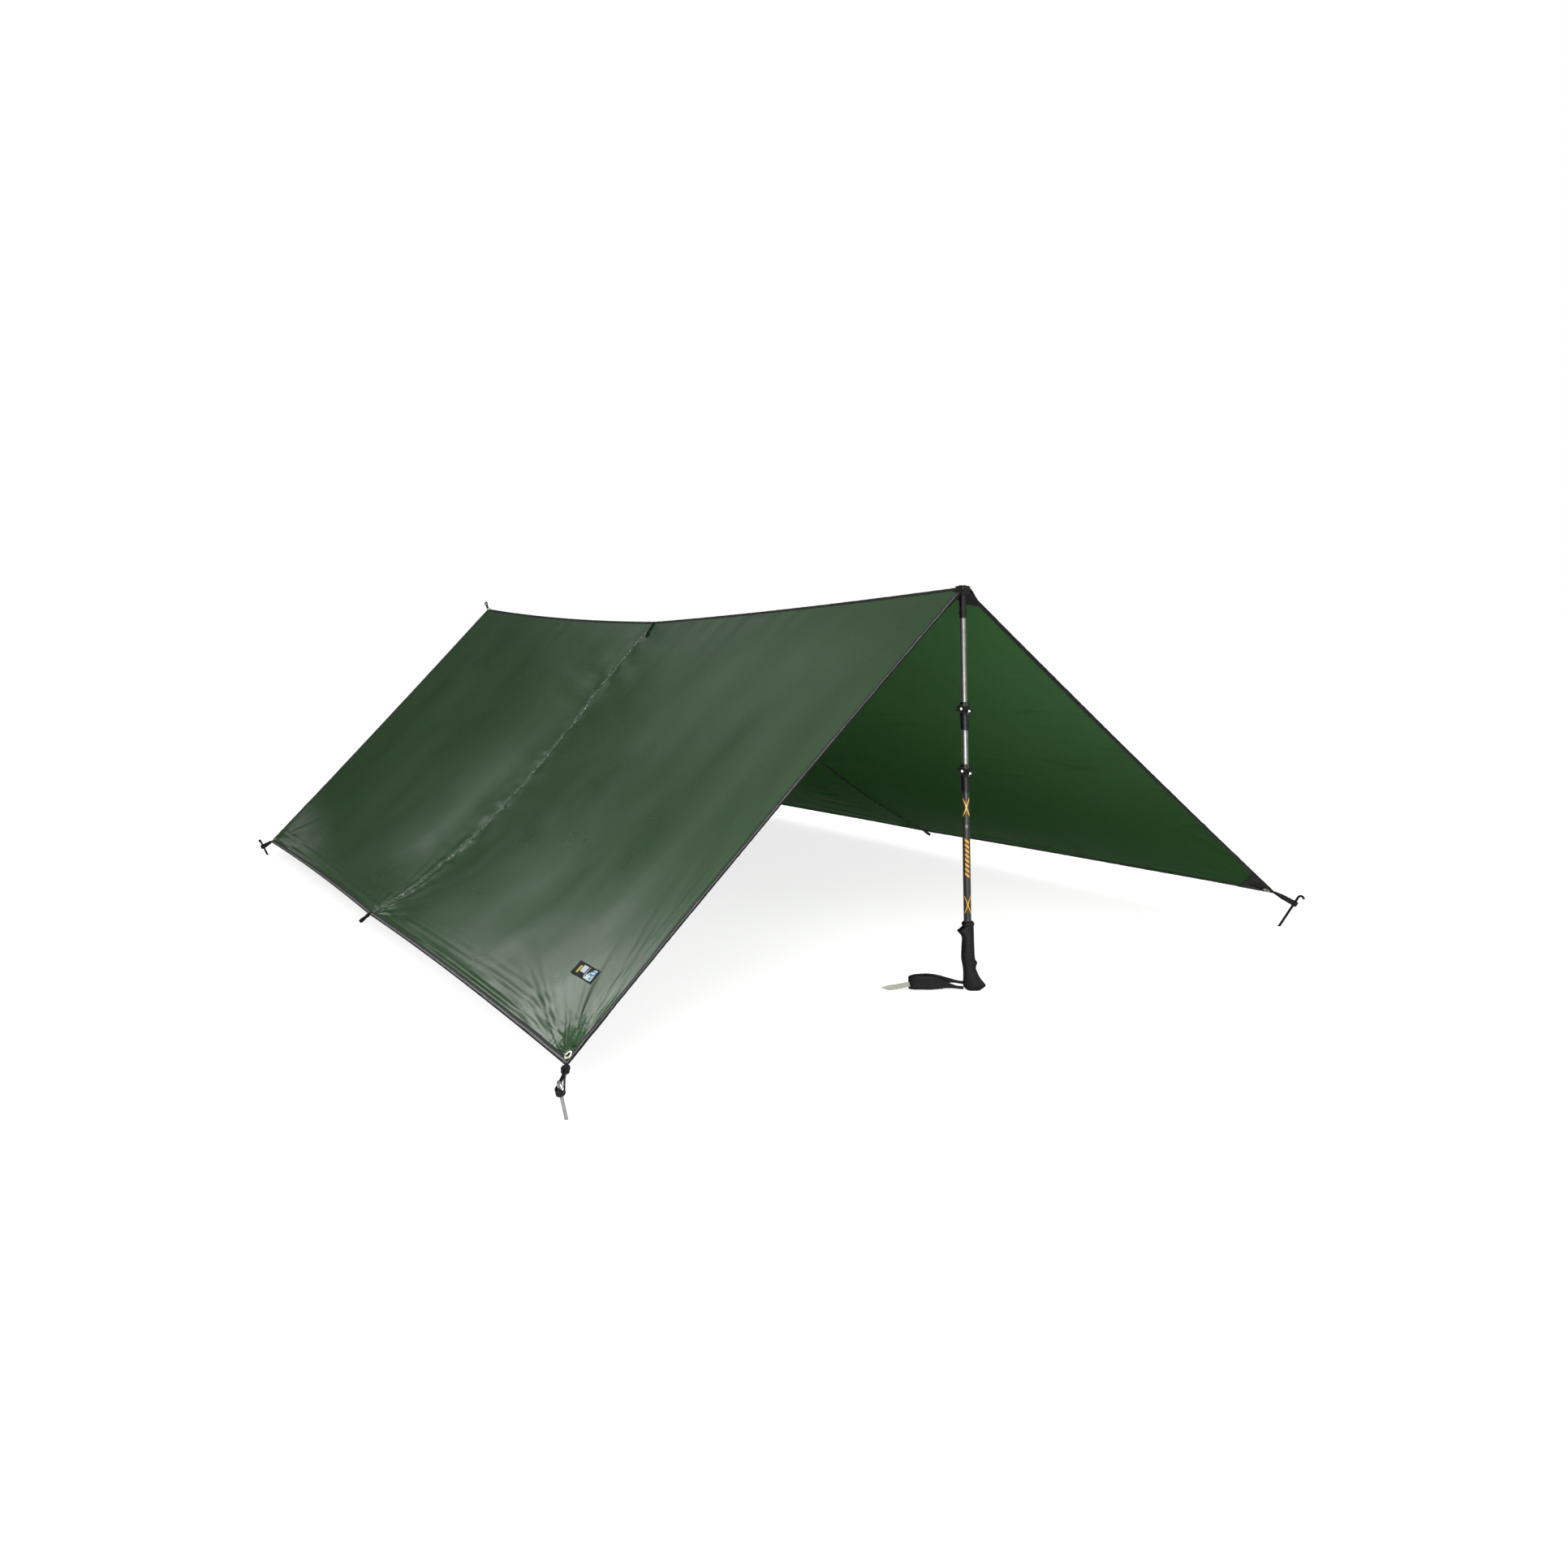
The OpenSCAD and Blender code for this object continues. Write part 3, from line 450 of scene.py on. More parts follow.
def add_piece(name, skin, materials, replaces=(), rides=None, blends=None,
              material_index=None):
    """Make an object from a skin and tell the frame about it.

    rides: the joint it moves with; blends: the side of the wing it lies on; when given, its
    placement is baked into its mesh.
    """
    vertices, faces, uvs = facing_out(*skin)
    mesh = bpy.data.meshes.new(name)
    mesh.from_pydata(vertices.tolist(), [], faces)
    layer = mesh.uv_layers.new(name="UVMap")
    layer.data.foreach_set("uv", np.array([c for f in uvs for c in f], np.float32).ravel())
    for material in materials:
        mesh.materials.append(material)
    if material_index is not None:
        mesh.polygons.foreach_set("material_index", np.asarray(material_index, np.int32))
    mesh.polygons.foreach_set("use_smooth", np.full(len(mesh.polygons), True))
    mesh.update()
    piece = bpy.data.objects.new(name, mesh)
    bpy.context.scene.collection.objects.link(piece)
    if replaces:
        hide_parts(*replaces)
    if rides:
        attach(piece, rides)
    if blends:
        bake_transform(piece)


# ---------------------------------------------------------------- shader building
class Value:
    """An output of a shader node. Arithmetic on it adds Math nodes."""

    def __init__(self, shader, node, key=0):
        self.shader, self.node, self.key = shader, node, key

    def output(self, key):
        return Value(self.shader, self.node, key)

    def math(self, operation, *others, clamp=False):
        return self.shader.math(operation, self, *others, clamp=clamp)

    def __add__(self, other):
        return self.math("ADD", other)

    def __sub__(self, other):
        return self.math("SUBTRACT", other)

    def __rsub__(self, other):
        return self.shader.math("SUBTRACT", other, self)

    def __mul__(self, other):
        return self.math("MULTIPLY", other)

    def __truediv__(self, other):
        return self.math("DIVIDE", other)

    def __pow__(self, other):
        return self.math("POWER", other)

    def __lt__(self, other):
        return self.math("LESS_THAN", other)

    def __gt__(self, other):
        return self.math("GREATER_THAN", other)

    def __abs__(self):
        return self.math("ABSOLUTE")

    def scaled(self, factor, offset, clamp=False):
        return self.math("MULTIPLY_ADD", factor, offset, clamp=clamp)


class Shader:
    """Node tree of a material or world, emptied and ready to build."""

    def __init__(self, owner):
        owner.use_nodes = True
        self.owner, self.tree = owner, owner.node_tree
        self.tree.nodes.clear()

    def node(self, kind, inputs=None, **settings):
        """Add a node; inputs are constants or Values. Gives its first output."""
        node = self.tree.nodes.new("ShaderNode" + kind)
        for key, setting in settings.items():
            setattr(node, key, setting)
        for key, value in (inputs or {}).items():
            if isinstance(value, Value):
                self.tree.links.new(value.node.outputs[value.key], node.inputs[key])
            else:
                node.inputs[key].default_value = value
        return Value(self, node)

    def math(self, operation, *values, clamp=False):
        inputs = {1: 0.0, **dict(enumerate(values))}
        return self.node("Math", inputs, operation=operation, use_clamp=clamp)

    def blend(self, factor, first, second):
        """Mix of two colours."""
        return self.node("Mix", {0: factor, 6: first, 7: second}, data_type="RGBA").output(2)

    def noise(self, vector, scale, detail=2.0, roughness=0.5):
        return self.node("TexNoise", {"Vector": vector, "Scale": scale, "Detail": detail,
                                      "Roughness": roughness}).output("Fac")

    def ramp(self, value, low, high):
        """Smooth step from 0 at low to 1 at high."""
        return self.node("MapRange", {"Value": value, "From Min": low, "From Max": high,
                                      "To Min": 0.0, "To Max": 1.0},
                         interpolation_type="SMOOTHSTEP")

    def position(self):
        return self.node("TexCoord").output("Object")

    def uv(self):
        """The UV vector and its two parts."""
        vector = self.node("TexCoord").output("UV")
        parts = self.node("SeparateXYZ", {0: vector})
        return vector, parts.output(0), parts.output(1)

    def bump(self, height, strength, depth, below=None):
        inputs = {"Height": height, "Strength": strength, "Distance": depth}
        if below is not None:
            inputs["Normal"] = below
        return self.node("Bump", inputs)

    def surface(self, **inputs):
        """Principled surface on the output; gives the finished material."""
        inputs = {key.replace("_", " "): value for key, value in inputs.items()}
        self.node("OutputMaterial", {"Surface": self.node("BsdfPrincipled", inputs)})
        return self.owner


def new_shader(name):
    return Shader(bpy.data.materials.new(name))


def stripes(x, pitch):
    """0..1..0 wave of a given pitch."""
    return (x * (2 * math.pi / pitch)).math("SINE").scaled(0.5, 0.5)


def near(value, centre, reach):
    """1 within reach of centre, else 0."""
    return abs(value - centre) < reach


def srgb(*channels):
    """Linear colour from 0-255 channels."""
    return tuple((c / 255 / 12.92 if c / 255 <= 0.04045 else ((c / 255 + 0.055) / 1.055) ** 2.4)
                 for c in channels) + (1.0,)


def brighter(color, factor, lift=0.0):
    return tuple(min(1, c * factor + lift) for c in color[:3]) + (1,)


# ---------------------------------------------------------------- cloth and webbing materials
def canopy_cloth(name, base, deep, roughness, specular, sheen_tint, low=None):
    """Coated ripstop: fine plain weave, faint grid of heavier threads, soft mottling.

    low: colour and specular near the ground, the colour there darker as painted shade, and the
    colour and strength of a glow, a painted light that stands in for light coming through the cloth.
    """
    shader = new_shader(name)
    _, x, y = shader.uv()
    position = shader.position()
    mottle = shader.noise(position, scale=2.3, detail=3.0)
    fine = shader.noise(position, scale=160.0, detail=3.0, roughness=0.65)
    color = shader.blend(shader.ramp(mottle, 0.35, 0.65), base, deep)
    color = shader.blend(shader.ramp(fine, 0.3, 0.75) * 0.22, color, brighter(base, 1.55))
    thread_pitch, thread_sharpness = 0.005, 14.0
    grid_x = stripes(x, thread_pitch) ** thread_sharpness
    grid_y = stripes(y, thread_pitch) ** thread_sharpness
    grid = grid_x.math("MAXIMUM", grid_y)
    color = shader.blend(grid * 0.08, color, brighter(base, 0.6))
    weave = stripes(x, 0.0006) + stripes(y, 0.0006)
    crush = shader.noise(position, scale=38.0, detail=5.0, roughness=0.6)
    relief = shader.bump(weave, strength=0.04, depth=0.0001)
    relief = shader.bump(grid, strength=0.12, depth=0.0002, below=relief)
    relief = shader.bump(crush, strength=0.05, depth=0.004, below=relief)
    roughness = shader.noise(position, scale=7.0, detail=4.0).scaled(0.16, roughness - 0.08)
    glow = {}
    if low is not None:
        height = shader.node("SeparateXYZ", {0: position}).output(2)
        up = shader.ramp(height, 0.25, 0.95)
        # painted shade: the colour goes darker towards the ground, where shade falls under the
        # shelter
        color = shader.blend(up, low["color"], color)
        specular = up.scaled(specular - low["specular"], low["specular"])
        # faint creases that run along the ridge direction, with painted shade darkening the colour
        # along them
        stretched = shader.node("Mapping", {"Vector": position, "Scale": (4.0, 1.1, 9.0)})
        line = abs(shader.noise(stretched, scale=1.0) - 0.5)
        crease = (shader.ramp(line, 0.016, 0.0)
                  * shader.ramp(shader.noise(position, scale=3.1), 0.46, 0.62))
        color = shader.blend(crease * 0.5, color, brighter(low["color"], 0.45))
        relief = shader.bump(crease, strength=-0.5, depth=0.004, below=relief)
        # painted light: a faint green glow stands in for light coming through the cloth
        glow = {"Emission_Color": low["glow"], "Emission_Strength": low["glow_strength"]}
    return shader.surface(Base_Color=color, Roughness=roughness, Specular_IOR_Level=specular,
                          Sheen_Weight=0.0, Sheen_Roughness=0.45, Sheen_Tint=sheen_tint,
                          Normal=relief, **glow)


def woven(name, base, light, roughness, pitch, sheen, stitch=None, stitch_at=None):
    """Webbing or tape: diagonal ribs, fuzz, and a row of stitches when asked."""
    shader = new_shader(name)
    _, x, y = shader.uv()
    position = shader.position()
    slant = stripes(y, pitch * 2) * (pitch * 0.6)
    weave = stripes(x + slant, pitch) * stripes(y, pitch * 1.3)
    fuzz = shader.noise(position, scale=420.0, detail=3.0)
    color = shader.blend(weave * 0.55, base, light)
    color = shader.blend(shader.ramp(fuzz, 0.45, 0.8) * 0.3, color, light)
    relief = shader.bump(weave, strength=0.5, depth=0.0004)
    relief = shader.bump(shader.noise(position, scale=55.0, detail=4.0),
                         strength=0.35, depth=0.002, below=relief)
    if stitch is not None:
        dashes = near(y, stitch_at, 0.00035) * (stripes(x, 0.0032) > 0.35)
        color = shader.blend(dashes, color, stitch)
        relief = shader.bump(dashes, strength=0.6, depth=0.0005, below=relief)
    return shader.surface(Base_Color=color, Roughness=roughness, Specular_IOR_Level=0.2,
                          Sheen_Weight=sheen, Sheen_Roughness=0.5, Normal=relief)


def edge_tape(name):
    """Grosgrain round the hem: rolled edge painted near black as shade, a pale painted highlight
    line along the fold, dim inner strip, stitches.
    """
    shader = new_shader(name)
    _, x, y = shader.uv()
    position = shader.position()
    rib = stripes(x, 0.0011)
    waver = shader.noise(position, scale=60.0).scaled(0.003, -0.0015)
    wavy_y = y + waver
    color = shader.blend(rib, srgb(44, 50, 45), srgb(60, 66, 60))
    # painted highlight: a pale band along the fold of the tape, broken up by noise
    pale = shader.ramp(wavy_y, 0.0060, 0.0072) * shader.ramp(wavy_y, 0.0112, 0.0102)
    painted_highlight_share = shader.noise(position, scale=130.0, detail=3.0).scaled(0.7, 0.45, clamp=True)
    color = shader.blend(pale * painted_highlight_share, color, srgb(122, 119, 122))
    # painted shade: the rolled outer edge goes near black
    color = shader.blend(shader.ramp(wavy_y, 0.0106, 0.0116), color, srgb(6, 6, 6))
    dashes = near(y, 0.0032, 0.0004) * (stripes(x, 0.0034) > 0.35)
    color = shader.blend(dashes, color, srgb(20, 22, 20))
    relief = shader.bump(rib, strength=0.45, depth=0.0003)
    relief = shader.bump(dashes, strength=-0.6, depth=0.0004, below=relief)
    relief = shader.bump(shader.noise(position, scale=55.0, detail=4.0),
                         strength=0.35, depth=0.002, below=relief)
    return shader.surface(Base_Color=color, Roughness=0.6, Specular_IOR_Level=0.2, Normal=relief)


def seam_cloth(name):
    """Felled seam: the canopy's own cloth, with pale painted highlights on its pucker tops and
    painted shade between them, and two stitch rows.
    """
    shader = new_shader(name)
    _, x, y = shader.uv()
    fleck = shader.noise(shader.node("CombineXYZ", {0: x * 150.0, 1: y * 190.0}),
                         scale=1.0, detail=4.0, roughness=0.72)
    soft = shader.noise(shader.node("CombineXYZ", {0: x * 22.0, 1: 0.0}), scale=1.0)
    color = shader.blend(shader.ramp(soft, 0.3, 0.7), srgb(30, 52, 32), srgb(44, 68, 44))
    # painted shade: dark flecks in the low spots of the fleck relief
    color = shader.blend(shader.ramp(fleck, 0.46, 0.40), color, srgb(10, 20, 12))
    # painted highlight: pale flecks on the high spots of the fleck relief
    painted_highlight_share = shader.ramp(fleck, 0.51, 0.59) * shader.ramp(soft, 0.28, 0.56)
    color = shader.blend(painted_highlight_share, color, srgb(140, 156, 140))
    rows = near(y, 0.0034, 0.0006).math("MAXIMUM", near(y, 0.0128, 0.0006))
    dashes = rows * (stripes(x, 0.0036) > 0.3)
    color = shader.blend(dashes, color, srgb(112, 124, 108))
    relief = shader.bump(fleck, strength=0.8, depth=0.0016)
    relief = shader.bump(dashes, strength=0.6, depth=0.0005, below=relief)
    return shader.surface(Base_Color=color, Roughness=0.42, Specular_IOR_Level=0.5, Normal=relief)


def label_cloth(name):
    """Woven label: dark ground, pale bars and a blue-white field, no lettering."""
    shader = new_shader(name)
    uv, x, y = shader.uv()

    def box(left, right, bottom, top):
        return ((x > left) * (x < right)) * ((y > bottom) * (y < top))

    waver = shader.noise(uv, scale=26.0, detail=1.0) * 0.35
    field = box(0.60, 0.93, 0.10, 0.90) * (x + y * 0.35 + waver > 1.02)
    patchy = shader.ramp(shader.noise(uv, scale=5.0, detail=1.0), 0.42, 0.55)
    field_color = shader.blend(patchy, srgb(70, 150, 190), srgb(215, 225, 232))
    color = shader.blend(field, srgb(11, 13, 17), field_color)
    for bounds, bar_color in (((0.30, 0.52, 0.14, 0.62), srgb(206, 210, 220)),
                              ((0.18, 0.27, 0.25, 0.80), srgb(198, 176, 70)),
                              ((0.56, 0.60, 0.12, 0.80), srgb(150, 158, 170))):
        color = shader.blend(box(*bounds), color, bar_color)
    threads = stripes(x, 0.02) * stripes(y, 0.045)
    color = shader.blend(threads * 0.35, color, srgb(48, 54, 62))
    return shader.surface(Base_Color=color, Roughness=0.6, Specular_IOR_Level=0.3,
                          Normal=shader.bump(threads, strength=0.5, depth=0.0003))


# ---------------------------------------------------------------- hard materials
def moulded(name, base, roughness, grain, specular, depth=0.00012):
    """Grained plastic or foam with lighter wear."""
    shader = new_shader(name)
    position = shader.position()
    grains = shader.noise(position, scale=grain)
    wear = shader.noise(position, scale=45.0, detail=4.0, roughness=0.6)
    worn_color = brighter(base, 2.2, lift=0.004)
    color = shader.blend(shader.ramp(wear, 0.5, 0.85) * 0.35, base, worn_color)
    relief = shader.bump(grains, strength=0.35, depth=depth)
    return shader.surface(Base_Color=color, Roughness=wear.scaled(0.2, roughness - 0.1),
                          Specular_IOR_Level=specular, Normal=relief)


def metal(name, base, dark, roughness, grain=(300.0, 300.0, 300.0), anisotropy=0.0):
    """Metal with fine grain and darker stains."""
    shader = new_shader(name)
    position = shader.position()
    stretched = shader.node("Mapping", {"Vector": position, "Scale": grain})
    grains = shader.noise(stretched, scale=1.0, detail=3.0)
    stain = shader.noise(position, scale=22.0, detail=4.0, roughness=0.6)
    color = shader.blend(shader.ramp(stain, 0.4, 0.8) * 0.45, base, dark)
    color = shader.blend(grains * 0.25, color, dark)
    return shader.surface(Base_Color=color, Metallic=1.0, Roughness=grains.scaled(0.14, roughness),
                          Anisotropic=anisotropy,
                          Normal=shader.bump(grains, strength=0.12, depth=0.0001))


# pole axes as columns, and where each pole stands
POLE_AXIS = unit(POLE_SPAN)
POLE = (rotation("Y", math.degrees(math.atan2(POLE_AXIS[0], POLE_AXIS[2])))
        @ rotation("X", -math.degrees(math.asin(POLE_AXIS[1]))) @ rotation("Z", -35))
FOOT = {"front": FRONT_TIP - POLE_SPAN,
        "rear": REAR_TIP - POLE_SPAN * (REAR_HEIGHT / FRONT_HEIGHT)}


def pole_position(shader):
    """Place within whichever pole the point belongs to."""
    position = shader.position()
    rear = shader.node("SeparateXYZ", {0: position}).output(1) > 0.0
    local = []
    for foot in (FOOT["front"], FOOT["rear"]):
        offset = shader.node("VectorMath", {0: position, 1: tuple(foot)}, operation="SUBTRACT")
        local.append([shader.node("VectorMath", {0: offset, 1: tuple(axis)},
                                  operation="DOT_PRODUCT").output("Value") for axis in POLE.T])
    return [at_front * (1.0 - rear) + at_rear * rear for at_front, at_rear in zip(*local)]


def print_tube(name):
    """Dark printed tube: scale lattice with grey glints, and gold crossing lines and bars."""
    shader = new_shader(name)
    x, y, z = pole_position(shader)
    # arc length round the tube, measured from local -y
    arc = shader.math("ARCTAN2", x, y * -1.0) * TUBE_RADIUS

    # lattice with a whole number of cells round the tube
    cells, cell_height = 14.0, 0.0084
    turn = arc * (cells / (2 * math.pi * TUBE_RADIUS))
    climb = z / cell_height
    rising = (turn + climb).math("FRACT")
    falling = (turn - climb).math("FRACT")
    rising_edge = rising.math("MINIMUM", 1.0 - rising)
    edge = rising_edge.math("MINIMUM", falling.math("MINIMUM", 1.0 - falling))
    cell = shader.ramp(edge, 0.06, 0.26)
    shade = (cell * (rising * (1.0 - falling))).math("MULTIPLY", 1.1, clamp=True)
    color = shader.blend(shade, srgb(4, 4, 5), srgb(92, 92, 90))

    # gold marks, symmetric about the same line
    aside = abs(arc)

    def cross(centre, half_height=0.021):
        """Curved arms that spread from a waist."""
        rise = abs(z - centre)
        arm = (rise / half_height) ** 1.25 * 0.0082 + 0.0004
        return near(aside, arm, 0.0013) * (rise < half_height)

    gold = cross(0.439).math("MAXIMUM", cross(0.207))
    # ladder of slanted bars
    slope, ladder_foot, ladder_height, bar_pitch = 0.8, 0.270, 0.092, 0.0115
    climb = (z + arc * slope) - ladder_foot
    rung = (climb / bar_pitch).math("FRACT") > 0.42
    inside = (climb > 0.0) * (climb < ladder_height)
    gold = gold.math("MAXIMUM", (rung * inside) * (aside < 0.0052))
    gold_color = shader.blend(shader.ramp(z, 0.34, 0.40), srgb(186, 134, 30), srgb(214, 160, 40))
    color = shader.blend(gold, color, gold_color)
    dot = near(z, 0.394, 0.004) * (aside < 0.003)
    color = shader.blend(dot * 0.7, color, srgb(120, 120, 118))
    return shader.surface(Base_Color=color, Roughness=0.34, Specular_IOR_Level=0.35,
                          Coat_Weight=0.12, Coat_Roughness=0.15,
                          Normal=shader.bump(cell, strength=0.15, depth=0.0002))


# ---------------------------------------------------------------- the materials
GREEN_OUT = canopy_cloth("cloth_outer", srgb(38, 71, 36), srgb(34, 67, 33), roughness=0.30,
                         specular=0.50, sheen_tint=(0.8, 0.9, 0.82, 1))
# inner cloth: painted shade darkens it near the ground, and a faint green glow is painted light
# standing in for light through the cloth
GREEN_IN = canopy_cloth("cloth_inner", srgb(38, 78, 35), srgb(34, 73, 31), roughness=0.50,
                        specular=0.32, sheen_tint=(0.6, 0.9, 0.6, 1),
                        low={"color": srgb(24, 53, 23), "specular": 0.02,
                             "glow": (0.28, 1.0, 0.22, 1), "glow_strength": 0.017})
BINDING = edge_tape("binding_tape")
# painted shade: the right wing's binding is the same grey tape, painted near black because that side
# lies in shade
BINDING_SHADED = woven("binding_tape_painted_shade", srgb(4, 4, 4), srgb(12, 13, 12), roughness=0.62,
                   pitch=0.0010, sheen=0.05, stitch=srgb(20, 22, 20), stitch_at=0.0025)
SEAM = seam_cloth("seam_tape_cloth")
SEAM_IN = woven("seam_tape_dark", srgb(20, 36, 20), srgb(34, 54, 32), roughness=0.6,
                pitch=0.0012, sheen=0.05)
RIDGE = woven("ridge_tape_cloth", srgb(8, 10, 8), srgb(24, 27, 24), roughness=0.5,
              pitch=0.0012, sheen=0.05, stitch=srgb(60, 66, 58), stitch_at=0.0028)
BLACK_CLOTH = woven("reinforcement_cloth", srgb(4, 5, 4), srgb(11, 12, 11), roughness=0.75,
                    pitch=0.0014, sheen=0.05)
WEBBING = woven("webbing_black", srgb(4, 4, 4), srgb(18, 18, 18), roughness=0.62,
                pitch=0.0016, sheen=0.03)
CORD = woven("cord_black", srgb(4, 4, 4), srgb(18, 18, 18), roughness=0.6,
             pitch=0.0013, sheen=0.03)
PAD = woven("strap_pad", srgb(4, 4, 5), srgb(14, 14, 15), roughness=0.55,
            pitch=0.0016, sheen=0.02)
TAIL = woven("strap_tail", srgb(128, 128, 120), srgb(196, 196, 186), roughness=0.5,
             pitch=0.0014, sheen=0.4)
EYELET = metal("eyelet_metal", srgb(214, 210, 196), srgb(120, 112, 96), roughness=0.24)
# painted shade: the same alloy peg, painted near black for the pegs that stand in shade
PEG_SHADED = metal("peg_metal_painted_shade", srgb(40, 40, 42), srgb(16, 16, 17), roughness=0.34)
PEG = metal("peg_metal", srgb(186, 188, 190), srgb(92, 92, 94), roughness=0.25)
SILVER = metal("tube_silver", srgb(138, 138, 134), srgb(78, 76, 72), roughness=0.30,
               grain=(900.0, 900.0, 14.0), anisotropy=0.4)
CHROME = metal("rivet_chrome", srgb(232, 232, 232), srgb(150, 150, 150), roughness=0.10)
TIP_STEEL = metal("tip_steel", srgb(150, 150, 152), srgb(90, 90, 92), roughness=0.3)
CLAMP = moulded("clamp_plastic", srgb(5, 5, 6), roughness=0.36, grain=1100.0, specular=0.28)
LEVER = moulded("lever_plastic", srgb(3, 3, 4), roughness=0.50, grain=1100.0, specular=0.07)
TIP_PLASTIC = moulded("tip_plastic", srgb(5, 5, 6), roughness=0.45, grain=900.0, specular=0.25)
GRIP = moulded("grip_foam", srgb(4, 4, 5), roughness=0.55, grain=1500.0, specular=0.22,
               depth=0.0002)
PRINT = print_tube("tube_print")
LABEL = label_cloth("woven_label_cloth")


# ---------------------------------------------------------------- the two wings
EYE_RINGS = ((0.0, 0.0072, 0.0092, 0.0118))
EYE_PULL = (0, 1.0, 0.9, 0.6)  # how far each ring of points is drawn onto its circle


def open_eyelets(side, middle):
    """Round the grid under each corner eyelet, in place, and give the cells to leave out."""
    rows, cols = middle.shape[:2]
    hole = np.zeros((rows - 1, cols - 1), bool)
    for end in (FRONT, REAR):
        along, down = end * (1 - EYELET_INSET / RIDGE_HALF), 1 - EYELET_INSET / WING_WIDTH
        eye_row = int(np.argmin(np.abs(ALONG - along)))
        eye_col = int(np.argmin(np.abs(DOWN - down)))
        centre = sheet(side, along, down)
        axis = normal(side, along, down)
        for i in range(max(eye_row - 3, 0), min(eye_row + 4, rows)):
            for j in range(max(eye_col - 3, 0), min(eye_col + 4, cols)):
                ring = max(abs(i - eye_row), abs(j - eye_col))
                offset = middle[i, j] - centre
                rise = axis * np.dot(offset, axis)
                flat = offset - rise
                length = np.linalg.norm(flat)
                if ring == 0 or length <= 1e-6 or (ring > 1 and length > EYE_RINGS[ring]):
                    continue
                pull = EYE_PULL[ring]
                target = centre + flat / length * EYE_RINGS[ring] + rise * (1 - pull)
                middle[i, j] = mix(middle[i, j], target, pull)
        hole[eye_row - 1:eye_row + 1, eye_col - 1:eye_col + 1] = True
    return hole


def rim(quads, offset):
    """Faces that close the outer border and the holes between quads and their lower copy."""
    edges = {}
    for first, second in ((0, 1), (1, 2), (2, 3), (3, 0)):
        for a, b in zip(quads[:, first].tolist(), quads[:, second].tolist()):
            if (b, a) in edges:
                del edges[(b, a)]
            else:
                edges[(a, b)] = True
    return np.array([[b, a, a + offset, b + offset] for a, b in edges])


def wing_cloth(side):
    along, down = np.meshgrid(ALONG, DOWN, indexing="ij")
    cols, count = len(DOWN), along.size
    middle = surf(side, along, down)
    half = normal(side, along, down) * (CLOTH_THICK / 2)
    hole = open_eyelets(side, middle)
    vertices = np.vstack([(middle + half).reshape(-1, 3), (middle - half).reshape(-1, 3)])
    i, j = np.nonzero(~hole)
    first = i * cols + j
    quads = np.stack([first, first + cols, first + cols + 1, first + 1], -1)
    border = rim(quads, count)
    faces = np.vstack([quads, quads[:, ::-1] + count, border])
    uvs = np.stack([(along * RIDGE_HALF).ravel(), (down * WING_WIDTH).ravel()], -1)[faces % count]
    material_index = np.repeat([0, 1, 0], [len(quads), len(quads), len(border)])
    # drop the points left inside the holes
    used = np.zeros(len(vertices), bool)
    used[faces.ravel()] = True
    faces = (np.cumsum(used) - 1)[faces]
    name = SIDE_NAME[side]
    add_piece(f"{name}_wing_cloth", (vertices[used], faces.tolist(), uvs.tolist()),
              [GREEN_OUT, GREEN_IN], [f"{name}_front_panel", f"{name}_rear_panel"],
              blends=side, material_index=material_index)


# distance in from the cloth's edge, height above the cloth, in millimetres
BINDING_SECTION = [
    (12.6, 0.5), (12.2, 1.15), (9.5, 1.35), (6.4, 1.2), (3.0, 1.45), (0.8, 1.35), (-0.6, 0.85),
    (-1.0, 0.0), (-0.6, -0.85), (0.8, -1.35), (3.0, -1.45), (6.4, -1.2), (9.5, -1.35),
    (12.2, -1.15), (12.6, -0.5)]


def binding(side):
    """Folded tape round front edge, hem and rear edge: a slightly puckered U."""
    parts = []
    downs = finer(DOWN[DOWN > 0.004], 2)
    alongs = finer(ALONG, 2)
    for seed, end in ((31, FRONT), (32, None), (33, REAR)):  # None is the hem
        seed += 50 * (side == RIGHT)
        travel = alongs * RIDGE_HALF if end is None else downs * WING_WIDTH
        lift = 0.0 if end is None else 0.00025
        rings = []
        for inset, height in np.array(BINDING_SECTION) / 1000:
            puckered = (inset + 0.0004 * noise(travel / 0.018, inset / 0.01, seed)
                        * (inset > 0.005))
            raised = (height + np.sign(height) * lift
                      + 0.00035 * noise(travel / 0.006, inset / 0.006, seed + 5)
                      * (abs(height) > 0.0007))
            if end is None:
                rings.append(surf(side, alongs, 1 - puckered / WING_WIDTH, raised))
            else:
                rings.append(surf(side, end * (1 - puckered / RIDGE_HALF), downs, raised))
        parts.append(tube(np.stack(rings, 1)))
    name = SIDE_NAME[side]
    # the right wing gets the copy of the tape darkened as painted shade
    add_piece(f"{name}_edge_binding_tape", join(parts), [BINDING if side == LEFT else BINDING_SHADED],
              [f"{name}_edge_binding"], blends=side)


# distance towards the rear from the seam line, height above the cloth, in millimetres
SEAM_SECTION = [
    (-8.6, 0.35), (-8.0, 0.9), (-5.0, 1.25), (-1.6, 1.1), (0, 1.5), (1.6, 1.1), (5.0, 1.2),
    (7.6, 0.85), (8.2, 0.35), (8.2, -0.4), (7.6, -1.2), (4.0, -1.4), (0.0, -1.5), (-4.0, -1.4),
    (-8.0, -1.2), (-8.6, -0.4)]


